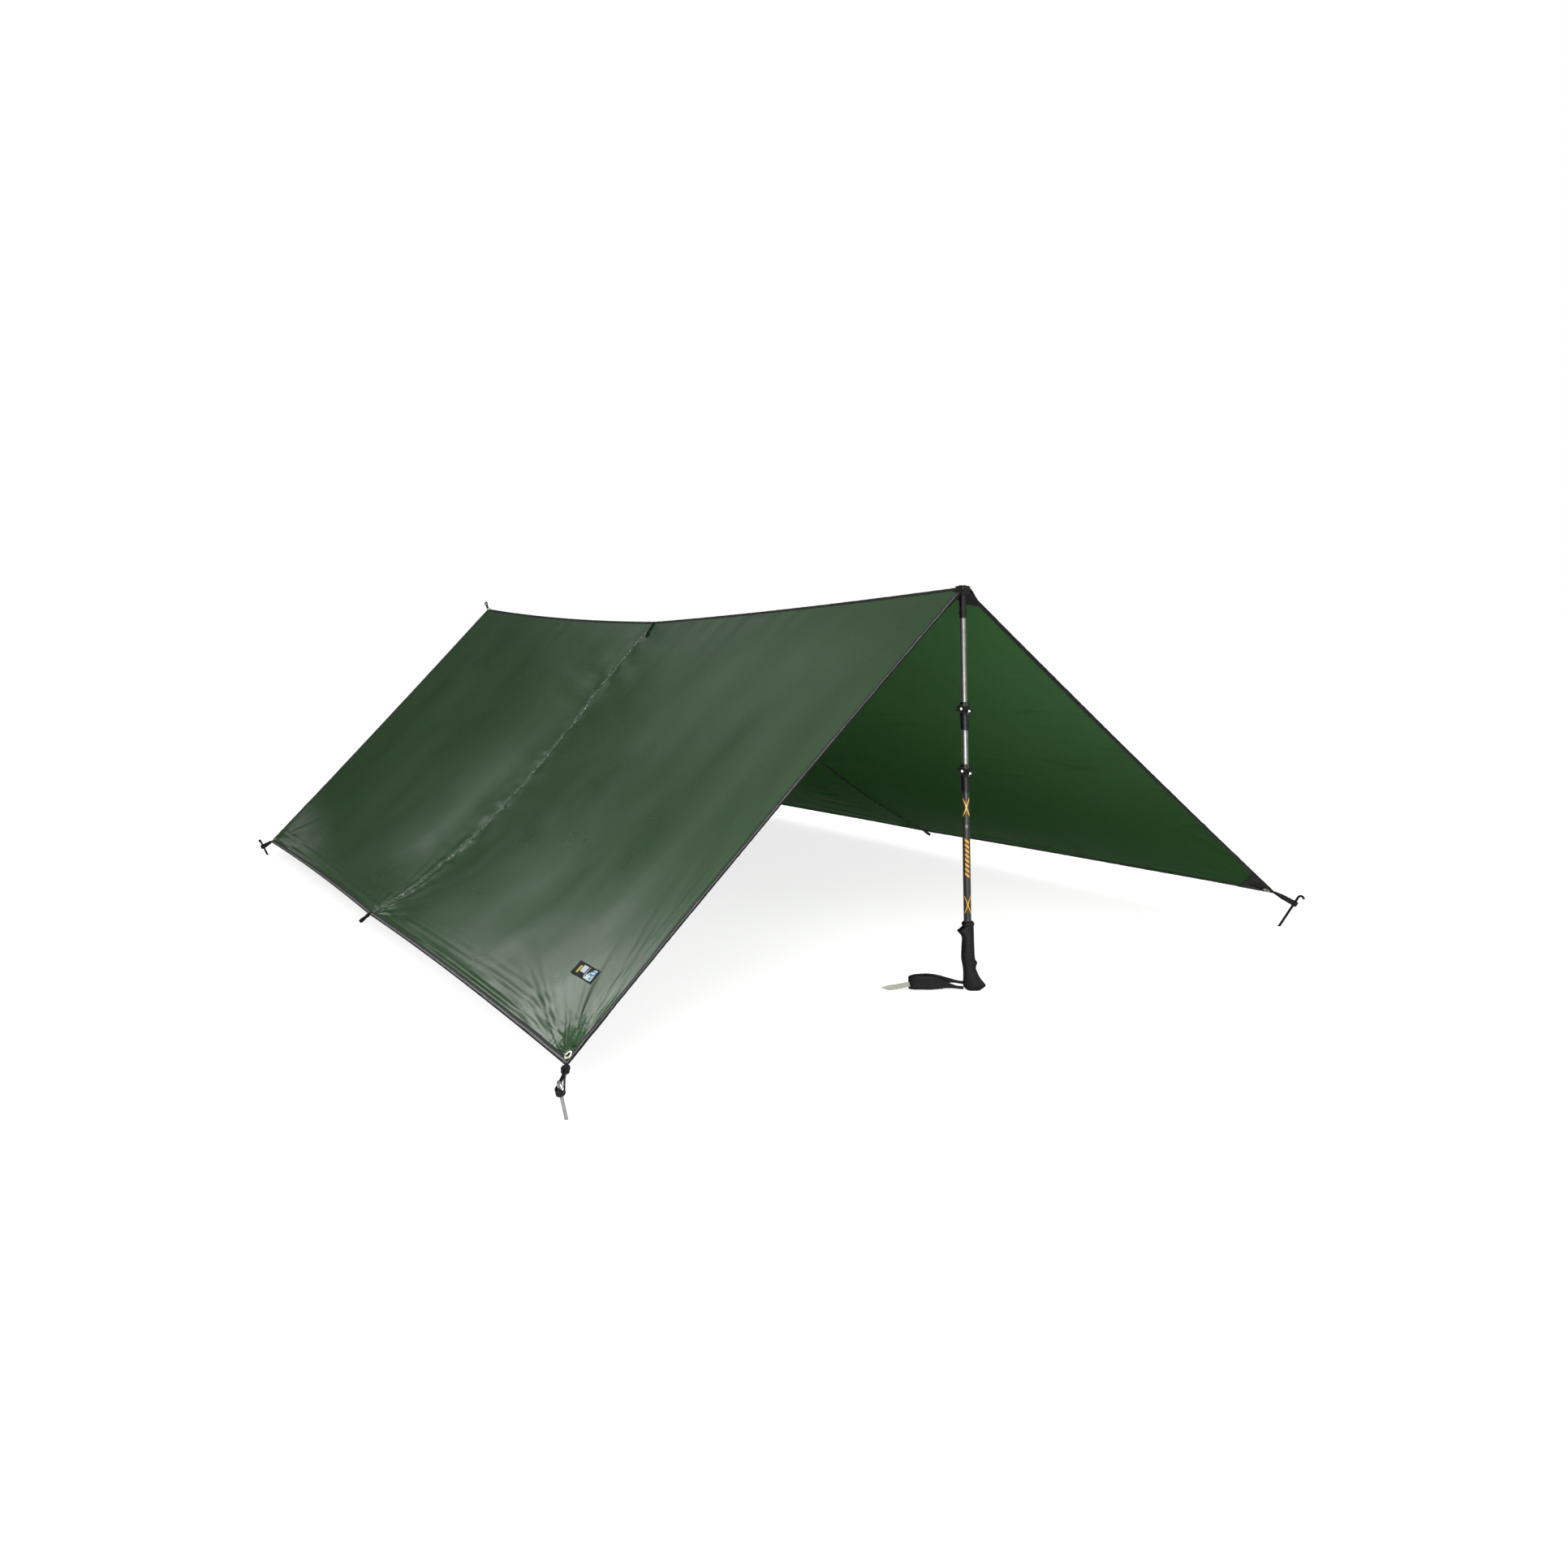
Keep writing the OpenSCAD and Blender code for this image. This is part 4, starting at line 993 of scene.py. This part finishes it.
def seam(side):
    """Felled cross seam: outer ply with hard puckers, inner tape."""
    inset = 0.012
    downs = finer(DOWN[(DOWN > inset) & (DOWN < 1 - inset / WING_WIDTH)], 3)
    travel = downs * WING_WIDTH
    other = side == RIGHT
    rings = []
    for offset, height in SEAM_SECTION:
        offset, height = offset / 1000, height / 1000
        edge = (offset + 0.0012 * noise(travel / 0.010, 3.0 * np.sign(offset), 71 + other)
                * (abs(offset) > 0.004))
        pucker = 0.0
        if height > 0.0007:
            pucker = (0.0016 * np.abs(noise(travel / 0.0052, offset / 0.006, 73 + other))
                      + 0.0006 * noise(travel / 0.0028, offset / 0.004, 74))
        elif height < -0.0007:
            pucker = -0.0007 * np.abs(noise(travel / 0.006, offset / 0.006, 75))
        rings.append(surf(side, edge / RIDGE_HALF, downs, height + pucker))
    skin = tube(np.stack(rings, 1))
    # faces past this distance round the section lie on the inner side
    inner_from = 0.0185
    inner = [0 if np.mean([y for _, y in face]) < inner_from else 1 for face in skin[2]]
    name = SIDE_NAME[side]
    add_piece(f"{name}_cross_seam", skin, [SEAM, SEAM_IN],
              [f"{name}_cross_seam_tape"], blends=side, material_index=inner)


# wing (0 is the crest itself), distance down from the ridge and height, in millimetres
RIDGE_SECTION = [
    (LEFT, 8.2, 0.5), (LEFT, 7.8, 1.0), (LEFT, 4.0, 1.1), (LEFT, 1.5, 1.5), (0, 0, 2.3),
    (RIGHT, 1.5, 1.5), (RIGHT, 4.0, 1.1), (RIGHT, 7.8, 1.0), (RIGHT, 8.2, 0.5),
    (RIGHT, 8.0, -0.9), (RIGHT, 2.0, -1.2), (0, 0, -2.6), (LEFT, 2.0, -1.2), (LEFT, 8.0, -0.9)]


def ridge():
    """Narrow tape sewn over the ridge, with a rolled crest."""
    alongs = ALONG[np.abs(ALONG) < 1 - 0.001]
    travel = alongs * RIDGE_HALF
    rings = []
    for side, drop, height in RIDGE_SECTION:
        if side == 0:
            points = sheet(RIGHT, alongs, 0.0) + np.array([0, 0, height / 1000])
            points[:, 2] += 0.0003 * noise(travel / 0.012, 0.5, 81)
        else:
            raised = height / 1000 + 0.0003 * noise(travel / 0.009, drop, 82)
            points = surf(side, alongs, drop / 1000 / WING_WIDTH, raised)
        rings.append(points)
    add_piece("ridge_seam_tape", tube(np.stack(rings, 1)), [RIDGE], ["ridge_tape"],
              rides="canopy_ridge")


# ---------------------------------------------------------------- patches under the cloth
def fan_grid(sweep_count, out_count):
    """Sweep angle over a quarter turn and share outward, as grids."""
    sweep, out = np.meshgrid(np.linspace(0, 1, sweep_count), np.linspace(0, 1, out_count),
                             indexing="ij")
    return sweep * math.pi / 2, out


def corner_patches(side):
    for end, leg in ((FRONT, 0.116), (REAR, 0.094)):
        # fan from the corner, swept from hem to edge, with a slightly hollow outer edge
        angle, out = fan_grid(40, 36)
        reach = leg / (np.cos(angle) + np.sin(angle)) * (1 - 0.06 * np.sin(2 * angle))
        radius = 0.003 + (reach - 0.003) * out
        along = end * (1 - (0.001 + radius * np.cos(angle)) / RIDGE_HALF)
        down = 1 - (0.001 + radius * np.sin(angle)) / WING_WIDTH
        skin = between(surf(side, along, down, -0.0008), surf(side, along, down, -0.0026))
        name = f"{END_NAME[end]}_{SIDE_NAME[side]}"
        add_piece(f"{name}_patch_cloth", skin, [BLACK_CLOTH],
                  [f"{name}_corner_patch"], rides=f"{SIDE_NAME[side]}_wing")


def peak_patches():
    for end in (FRONT, REAR):
        for side in (LEFT, RIGHT):
            # fan from the ridge end, swept from the ridge round to the edge
            angle, out = fan_grid(28, 14)
            first_half = angle < math.pi / 4
            reach = (0.058 + 0.020 * np.cos(2 * angle) ** 2 * first_half
                     + 0.006 * ~first_half)
            radius = 0.010 + (reach - 0.010) * out
            along = end * (1 - (0.0008 + radius * np.cos(angle)) / RIDGE_HALF)
            down = (0.0015 + radius * np.sin(angle)) / WING_WIDTH
            skin = between(surf(side, along, down, -0.0022), surf(side, along, down, -0.0042))
            add_piece(f"{END_NAME[end]}_{SIDE_NAME[side]}_peak_patch", skin, [BLACK_CLOTH],
                      [f"{END_NAME[end]}_ridge_patch"] if side == LEFT else (),
                      blends=side)


# ---------------------------------------------------------------- webbing
# Paths in millimetres from a local origin.
PEAK_DRAPE = [(-21, -9.0), (-18, -6.2), (-16, -4.4), (-11, -0.2), (-6, 2.0), (0, 2.8),
              (6, 2.0), (11, -0.2), (16, -4.4), (23, -11.4), (30, -20.4), (36, -26.6)]  # x, z
PEAK_LIP = [(0, 11, 2.2), (0, -4, 3.0), (0, -11.5, 1.8), (0, -14.2, -4.0), (0, -13.0, -12.0),
            (0, -9.5, -17.0)]  # x, y, z


def front_peak_webbing():
    """Webbing draped over the ridge end, with a folded end turned down over the front edge."""
    drape = smooth_path([(x, 0, z) for x, z in PEAK_DRAPE], 61) / 1000
    path = FRONT_TIP + np.array([0, -0.0005, 0]) + drape
    over = band(path, (0, 1, 0), width=0.0225, thick=0.0020, ripple=0.0002, seed=5)
    lip = smooth_path(PEAK_LIP, 40) / 1000
    folded = band(FRONT_TIP + lip, (1, 0, 0), width=np.linspace(0.026, 0.019, 40),
                  thick=0.0018, ripple=0.0002, seed=6)
    add_piece("front_peak_webbing", join([over, folded]), [WEBBING],
              ["front_ridge_loop"], rides="canopy_ridge")


def rear_peak_webbing():
    """Loop that stands up from the rear end of the ridge, with a knot at its root."""
    root = REAR_TIP + np.array([0, 0.0105, 0.006])
    turn = rotation("Z", 90) @ rotation("Y", -52)
    eye = [(24 + 5.72 * math.cos(a), 5.2 * math.sin(a), 0)
           for a in np.linspace(math.radians(150), math.radians(-150), 44)]
    loop = smooth_path([(2, 1.3, 0), (8, 2.2, 0)] + eye + [(8, -2.2, 0), (2, -1.3, 0)], 70)
    strip = band(placed(root, turn, loop), turn[:, 2], width=0.0085, thick=0.0017,
                 ripple=0.0001, seed=7)
    knot = smooth_path([(3 + 1.5 * math.cos(a), 3.4 * math.sin(a), 3.6 * math.cos(a))
                        for a in np.linspace(0, 12.5, 40)], 90)
    add_piece("rear_peak_webbing", join([strip, cord(placed(root, turn, knot), 0.0016)]),
              [WEBBING], ["rear_ridge_loop"], rides="canopy_ridge")


# distance from the cross seam and down from the ridge in metres, height in millimetres
MID_CORD = [
    (-0.004, 0.003, 4.2), (-0.004, 0.012, 3.2), (-0.009, 0.028, 2.8), (-0.013, 0.046, 3.0),
    (-0.022, 0.062, 2.6), (-0.027, 0.073, 2.6), (-0.034, 0.078, 2.8), (-0.037, 0.071, 3.0),
    (-0.030, 0.060, 4.0), (-0.019, 0.046, 4.6), (-0.013, 0.030, 4.4), (-0.008, 0.014, 4.6),
    (-0.006, 0.004, 5.0)]


def mid_ridge_cord():
    """Short doubled cord that lies down the left wing from the middle of the ridge."""
    run, drop, height = smooth_path(MID_CORD, 150).T
    path = surf(LEFT, run / RIDGE_HALF, drop / WING_WIDTH, height / 1000)
    add_piece("mid_ridge_cord", cord(path, 0.0021), [CORD], ["mid_ridge_loop"],
              blends=LEFT)


def corner_knot(end):
    """Path and radius of webbing bunched where it is knotted through the corner."""
    if end == FRONT:
        turns, size, length, radius = 3, 6.0, 8.0, 0.0030
    else:
        turns, size, length, radius = 2, 4.0, 4.0, 0.0020
    angle = np.linspace(0, 2 * math.pi * turns, 60 * turns)
    path = np.stack([4.5 + length * angle / angle[-1] + 1.6 * np.sin(angle * 0.5),
                     (size - 1.2 + 0.9 * np.sin(angle * 1.3)) * np.sin(angle),
                     (size + 0.9 * np.cos(angle * 0.7)) * np.cos(angle)], -1)
    return path, radius + 0.0005 * np.sin(angle * 2.3)


def corner_loops():
    eye_radius = 8.2
    for side in (LEFT, RIGHT):
        for end, length in ((FRONT, 62.0), (REAR, 46.0)):
            origin = corner(side, end)
            heading = math.degrees(math.atan2(end * 0.785, side * 0.62))
            turn = rotation("Z", heading) @ rotation("Y", 28)
            eye_x = 4.5 + length - 9.2
            eye = [(eye_x + eye_radius * math.cos(a), eye_radius * math.sin(a), 0)
                   for a in np.linspace(math.radians(128), math.radians(-128), 40)]
            leg = [(-3.0, 1.1, 0), (5, 1.4, 0), (length * 0.42, 2.0, 0)]
            loop = smooth_path(leg + eye + [(x, -y, z) for x, y, z in leg[::-1]], 110)
            parts = [band(placed(origin, turn, loop), turn[:, 2],
                          width=0.0085 + 0.0050 * smooth(loop[:, 0], 2, 22), thick=0.0019,
                          ripple=0.0003, seed=11 + side + 3 * end)]
            if side == LEFT or end == REAR:
                knot, radius = corner_knot(end)
                parts.append(cord(placed(origin, turn, knot), radius))
            name = f"{END_NAME[end]}_{SIDE_NAME[side]}"
            add_piece(f"{name}_webbing", join(parts), [WEBBING],
                      [f"{name}_corner_loop"], rides=f"{name}_loop")


# outward from the hem, sideways
HEM_LOOP = {
    LEFT: [(-6, 1.0), (6, 1.6), (15, 3.0), (23, 5.4), (30, 4.6), (32, 0), (29, -4.6),
           (22, -5.2), (14, -2.6), (6, -1.4), (-6, -1.0)],
    RIGHT: [(-6, 1.0), (6, 2.0), (15, 4.0), (24, 6.6), (31, 4.4), (32.5, -1.5), (28, -6.2),
            (20, -5.6), (13, -3.2), (5, -1.6), (-6, -1.0)]}


def hem_loops():
    for side in (LEFT, RIGHT):
        turn = rotation("Z", 0 if side == RIGHT else 180) @ rotation("Y", 34)
        origin = hem_mid(side)
        loop = smooth_path([(x, y, 0) for x, y in HEM_LOOP[side]], 90)
        strip = band(placed(origin, turn, loop), turn[:, 2], width=0.0075, thick=0.0016,
                     ripple=0.0002, seed=21 + side)
        angle = np.linspace(0, 12.5, 80)
        knot = np.stack([4.0 + 3.2 * angle / angle[-1], 3.0 * np.sin(angle),
                         4.4 * np.cos(angle)], -1)
        name = SIDE_NAME[side]
        add_piece(f"{name}_hem_webbing", join([strip, cord(placed(origin, turn, knot), 0.0014, 10)]),
                  [WEBBING], [f"{name}_mid_hem_loop"], rides=f"{name}_wing")


def label():
    """Small patch near the left wing's front corner: wavy outline, pillowed middle."""
    rows, cols = 70, 34
    x, y = np.meshgrid(np.linspace(0, 1, rows), np.linspace(0, 1, cols), indexing="ij")
    along = -mix(0.832, 0.904, x) - 0.0006 * noise(y * 5, x * 2, 91) * (np.abs(x - 0.5) * 2) ** 8
    down = mix(0.869, 0.893, y) + 0.0004 * noise(x * 8, y * 2, 92) * (np.abs(y - 0.5) * 2) ** 8
    to_border = np.minimum(np.minimum(x, 1 - x) * 3.2, np.minimum(y, 1 - y))
    height = 0.0011 + 0.0005 * smooth(to_border, 0, 0.12) + 0.00025 * noise(x * 16, y * 9, 93)
    vertices, faces, _ = between(surf(LEFT, along, down, height), surf(LEFT, along, down, 0.0004))

    def flat_uv(vertex):
        """0..1 across the label, the same on its top and underside."""
        i, j = divmod(vertex, 2 * cols)
        return [i / (rows - 1), min(j, 2 * cols - 1 - j) / (cols - 1)]

    uvs = [[flat_uv(vertex) for vertex in face] for face in faces]
    add_piece("label_patch", (vertices, faces, uvs), [LABEL], ["woven_label"],
              rides="left_wing")


for wing in (LEFT, RIGHT):
    wing_cloth(wing)
    binding(wing)
    seam(wing)
    corner_patches(wing)
ridge()
peak_patches()
front_peak_webbing()
rear_peak_webbing()
mid_ridge_cord()
corner_loops()
hem_loops()
label()

# ---------------------------------------------------------------- poles
# Pole frame, millimetres: height, lowest x, highest x, half depth along y.
GRIP_ROWS = [
    (0, -4, 29, 10), (5, -9.5, 36.5, 13), (10, -12.4, 41, 14.2), (17, -13, 36.5, 14.6),
    (27, -12.6, 28.8, 14.8), (40, -12.2, 22.4, 14.6), (52, -12.8, 18.2, 14.2),
    (60, -14, 19.6, 14.2), (66, -15, 21.4, 14.4), (73, -16, 17.4, 14.6), (82, -16.6, 15.8, 15),
    (104, -15.6, 15, 15), (124, -14.2, 14.6, 14.6), (133, -16.4, 14.6, 14.4),
    (139, -21, 14.5, 14.2), (144, -25, 14.4, 14), (149, -19.5, 14.4, 13.8),
    (154, -13.4, 14.3, 13.6), (156.5, -12.6, 14.6, 13.4), (158, -14, 15.6, 14.4),
    (162, -14, 15.6, 14.4), (166, -11, 12, 11.6)]
BORE_RADIUS = 9.08
BORE_HEIGHTS = (166.5, 150.0, 90.0, 23.5)


def grip(end):
    count = 72
    angle = np.linspace(0, 2 * np.pi, count, endpoint=False)
    cosine, sine = np.cos(angle), np.sin(angle)
    flank = smooth(np.abs(sine), 0.25, 0.6)
    rings = []
    for z, low, high, depth in smooth_path(GRIP_ROWS, 190):
        centre, half = (low + high) / 2, (high - low) / 2
        # shallow grooves on the flanks, and a parting line on the +x side
        groove = (0.55 * (0.5 + 0.5 * math.cos(2 * math.pi * z / 6.2)) ** 3
                  * smooth(z, 84, 90) * (1 - smooth(z, 118, 124)))
        shrink = 1 - groove * flank / 15
        parting = 0.22 * bell(sine, 0.035) * (cosine > 0)
        x = centre + half * np.sign(cosine) * np.abs(cosine) ** 0.85 * shrink - parting
        y = depth * np.sign(sine) * np.abs(sine) ** 0.85 * shrink
        rings.append(np.stack([x, y, np.full(count, z)], -1))
    rings = np.array(rings)
    rings[0, :, 2] -= 3
    # rounded lip, then the bore that the tube stands in
    lip = mix(rings[-1], rings[-1].mean(0), 0.1) + [0, 0, 0.4]
    bore = [np.stack([BORE_RADIUS * cosine, BORE_RADIUS * sine, np.full(count, z)], -1)
            for z in BORE_HEIGHTS]
    points = placed(FOOT[end], POLE, np.concatenate([rings, [lip], bore]))
    points[..., 2] = np.maximum(points[..., 2], 0.0)
    add_piece(f"{end}_grip_body", tube(points), [GRIP], [f"{end}_grip"],
              rides=f"{end}_pole_upper")


# Centre lines in the pole frame, millimetres from STRAP_ROOT.
STRAP_ROOT = np.array([-21.0, 0, 6.5])
STRAP_LOOP = [
    (8.6, -3.0, -0.5), (2, -3.4, 0.2), (-8, -4.6, 2.0), (-20, -6.6, 5.2), (-38, -9.0, 10),
    (-60, -10.5, 14.5), (-84, -10.6, 16.5), (-104, -9.8, 17.0), (-116, -6.6, 16.0),
    (-120.5, 0, 15.5), (-116, 6.6, 15.5), (-104, 9.8, 16), (-84, 10.6, 16.5), (-60, 10.5, 16.2),
    (-38, 9.2, 16.2), (-20, 7.2, 15.0), (-8, 5.0, 13.0), (2, 3.4, 11.4), (8.6, 2.6, 10.5)]
STRAP_TAIL = [
    (-112, -6.0, 12.5), (-124, -5.0, 12.0), (-138, -4.0, 9.4), (-152, -3.4, 6.8),
    (-166, -3.2, 5.4), (-178, -3.4, 5.2), (-186, -3.8, 6.0)]


def strap_path(end, line, width_mm, clearance):
    """Strap line on its pole, raised where its lower edge would touch the ground."""
    path = placed(FOOT[end], POLE, line + STRAP_ROOT)
    low = path[:, 2] - width_mm / 2000
    path[:, 2] += np.maximum(clearance - low, 0)
    return path


def strap(end):
    """Padded wrist strap lying out from the grip, with its pale tail."""
    line = smooth_path(STRAP_LOOP, 180)
    out = -line[:, 0]
    width = 7.5 + 25.5 * smooth(out, 4, 78) - 3.0 * smooth(out, 104, 121)
    thick = 1.8 + 2.2 * smooth(out, 24, 60)
    path = strap_path(end, line, width, clearance=0.0015)
    parts = [band(path, POLE[:, 2], width / 1000, thick / 1000, ripple=0.0002, seed=41, flats=7)]
    # piping along both edges of the pad
    for edge_side in (-1, 1):
        edge = path + POLE[:, 2] * edge_side * (width[:, None] / 2000 - 0.0008)
        parts.append(cord(edge[out > 40], 0.0013, 8))
    add_piece(f"{end}_strap_pad", join(parts), [PAD], [f"{end}_wrist_strap"],
              rides=f"{end}_strap")

    line = smooth_path(STRAP_TAIL, 60)
    out = -line[:, 0]
    width = 12.0 - 9.5 * smooth(out, 166, 188) - 2.0 * (1 - smooth(out, 112, 130))
    path = strap_path(end, line, width, clearance=0.0012)
    skin = band(path, POLE[:, 2] + 0.22 * POLE[:, 1], width / 1000, thick=0.0016,
                ripple=0.0001, seed=43)
    add_piece(f"{end}_strap_tail", skin, [TAIL], rides=f"{end}_strap")


for pole in ("front", "rear"):
    grip(pole)
    strap(pole)

# ---------------------------------------------------------------- looks of the CAD pieces
SLOT_MATERIALS = {
    "eyelet_metal": EYELET, "peg_metal": PEG, "tube_silver": SILVER, "tube_dark": PRINT,
    "clamp_plastic": CLAMP, "rivet_steel": CHROME, "tip_plastic": TIP_PLASTIC,
    "tip_steel": TIP_STEEL, "webbing": WEBBING, "grip_foam": GRIP, "strap_cloth": PAD,
    "canopy_cloth": GREEN_OUT, "seam_tape": SEAM, "edge_binding": BINDING,
    "reinforcement": BLACK_CLOTH, "label_cloth": LABEL}


def dress(part):
    name = part["node"]
    piece = frame["nodes"][name]
    material = SLOT_MATERIALS[part["material_slot"]]
    if name.endswith("_lever"):
        material = LEVER
    # pegs other than the front left one get the copy darkened as painted shade
    if name.endswith("_peg") and name != "front_left_peg":
        material = PEG_SHADED
    piece.data.materials.clear()
    piece.data.materials.append(material)
    for face in piece.data.polygons:
        face.material_index = 0
    if name.endswith(("_clamp", "_lever")):
        bevel = piece.modifiers.new("soft_edges", "BEVEL")
        bevel.width = 0.0005
        bevel.segments = 2
        bevel.limit_method = "ANGLE"
        bevel.angle_limit = math.radians(50)


for subpart in frame["record"]["subparts"]:
    dress(subpart)


# ---------------------------------------------------------------- floor, world, lights, camera
def floor():
    """White sweep: the camera sees mostly its own glow, with soft contact shadows."""
    shader = new_shader("floor_pale")
    camera_ray = shader.node("LightPath").output("Is Camera Ray")
    patchy = shader.noise(shader.position(), scale=0.6, detail=3.0)
    color = shader.blend(patchy, (0.47, 0.47, 0.47, 1), (0.45, 0.45, 0.45, 1))

    def glowing(strength, diffuse):
        glow = shader.node("Emission", {"Color": (1, 1, 1, 1), "Strength": strength})
        return shader.node("AddShader", {0: glow, 1: shader.node("BsdfDiffuse", {"Color": diffuse})})

    seen = glowing(0.79, color)
    bounce = glowing(0.05, (0.74, 0.74, 0.74, 1))
    mixed = shader.node("MixShader", {0: camera_ray, 1: bounce, 2: seen})
    shader.node("OutputMaterial", {"Surface": mixed})
    half, z = 60, -0.0004
    mesh = bpy.data.meshes.new("floor")
    mesh.from_pydata([(-half, -half, z), (half, -half, z), (half, half, z), (-half, half, z)],
                     [], [(0, 1, 2, 3)])
    mesh.materials.append(shader.owner)
    piece = bpy.data.objects.new("floor", mesh)
    bpy.context.scene.collection.objects.link(piece)


def studio():
    """White to the camera; as light, brighter from the front and above than from behind."""
    world = bpy.data.worlds.new("studio")
    bpy.context.scene.world = world
    shader = Shader(world)
    camera_ray = shader.node("LightPath").output("Is Camera Ray")
    direction = shader.node("SeparateXYZ", {0: shader.node("TexCoord").output("Generated")})
    front = shader.ramp(direction.output(1), 0.75, -0.3)
    above = shader.ramp(direction.output(2), 0.35, 0.95)
    ambient = shader.blend(front.math("MAXIMUM", above), (0.06, 0.06, 0.06, 1),
                           (0.58, 0.58, 0.57, 1))
    soft = shader.node("Background", {"Color": ambient, "Strength": 1.0})
    white = shader.node("Background", {"Color": (1, 1, 1, 1), "Strength": 1.0})
    mixed = shader.node("MixShader", {0: camera_ray, 1: soft, 2: white})
    shader.node("OutputWorld", {"Surface": mixed})


def light(name, location, target, size, energy, color=(1, 1, 1), spread=180):
    """Rectangular light aimed at a target, hidden from the camera."""
    data = bpy.data.lights.new(name, "AREA")
    data.shape = "RECTANGLE"
    data.size, data.size_y = size
    data.energy = energy
    data.color = color
    data.spread = math.radians(spread)
    lamp = bpy.data.objects.new(name, data)
    lamp.location = location
    aim = Vector(target) - Vector(location)
    lamp.rotation_euler = aim.to_track_quat("-Z", "Y").to_euler()
    lamp.visible_camera = False
    bpy.context.scene.collection.objects.link(lamp)


def camera():
    """View from the front left."""
    location = (-1.939250641237326, -3.503904437690705, 0.9001576314516965)
    heading = math.radians(-35.002605582473485)  # from +Y, positive towards -X
    pitch = math.radians(8.289712685310477)  # downward
    roll = math.radians(-0.550899619594796)
    data = bpy.data.cameras.new("camera")
    data.sensor_width = 36.0
    data.sensor_fit = "HORIZONTAL"
    data.lens = 27.447668296705
    data.clip_end = 200
    ahead = np.array([-math.sin(heading) * math.cos(pitch),
                      math.cos(heading) * math.cos(pitch), -math.sin(pitch)])
    level = np.array([math.cos(heading), math.sin(heading), 0.0])
    upright = np.cross(level, ahead)
    right = level * math.cos(roll) + upright * math.sin(roll)
    up = -level * math.sin(roll) + upright * math.cos(roll)
    viewer = bpy.data.objects.new("camera", data)
    rows = list(zip(right, up, -ahead, location))
    viewer.matrix_world = Matrix(rows + [(0, 0, 0, 1)])
    bpy.context.scene.collection.objects.link(viewer)
    bpy.context.scene.camera = viewer


floor()
studio()
light("key", (-3.6, -5.2, 3.7), (-0.3, -0.9, 0.4), size=(3.0, 3.0), energy=250,
      color=(1.0, 0.985, 0.95))
light("fill", (3.0, -6.5, 3.2), (0.2, -0.5, 0.4), size=(3.5, 2.5), energy=150)
light("back_high", (-0.9, 2.8, 3.05), (-0.6, -0.8, 0.4), size=(3.6, 1.4), energy=0.47, spread=44)
light("corner_sheen", (-2.05, 2.8, 2.3), (-1.0, -1.4, 0.2), size=(1.2, 0.8), energy=0.95,
      spread=36)
light("rear_glint", (-1.14, 2.7, 0.45), (-1.13, 1.42, 0.07), size=(0.4, 0.22), energy=0.006,
      spread=24)
light("inside", (-1.7, -4.7, 0.4), (0.6, -0.7, 0.8), size=(1.6, 0.6), energy=60)
camera()
bpy.context.scene.view_settings.view_transform = "Standard"
bpy.context.scene.view_settings.look = "None"
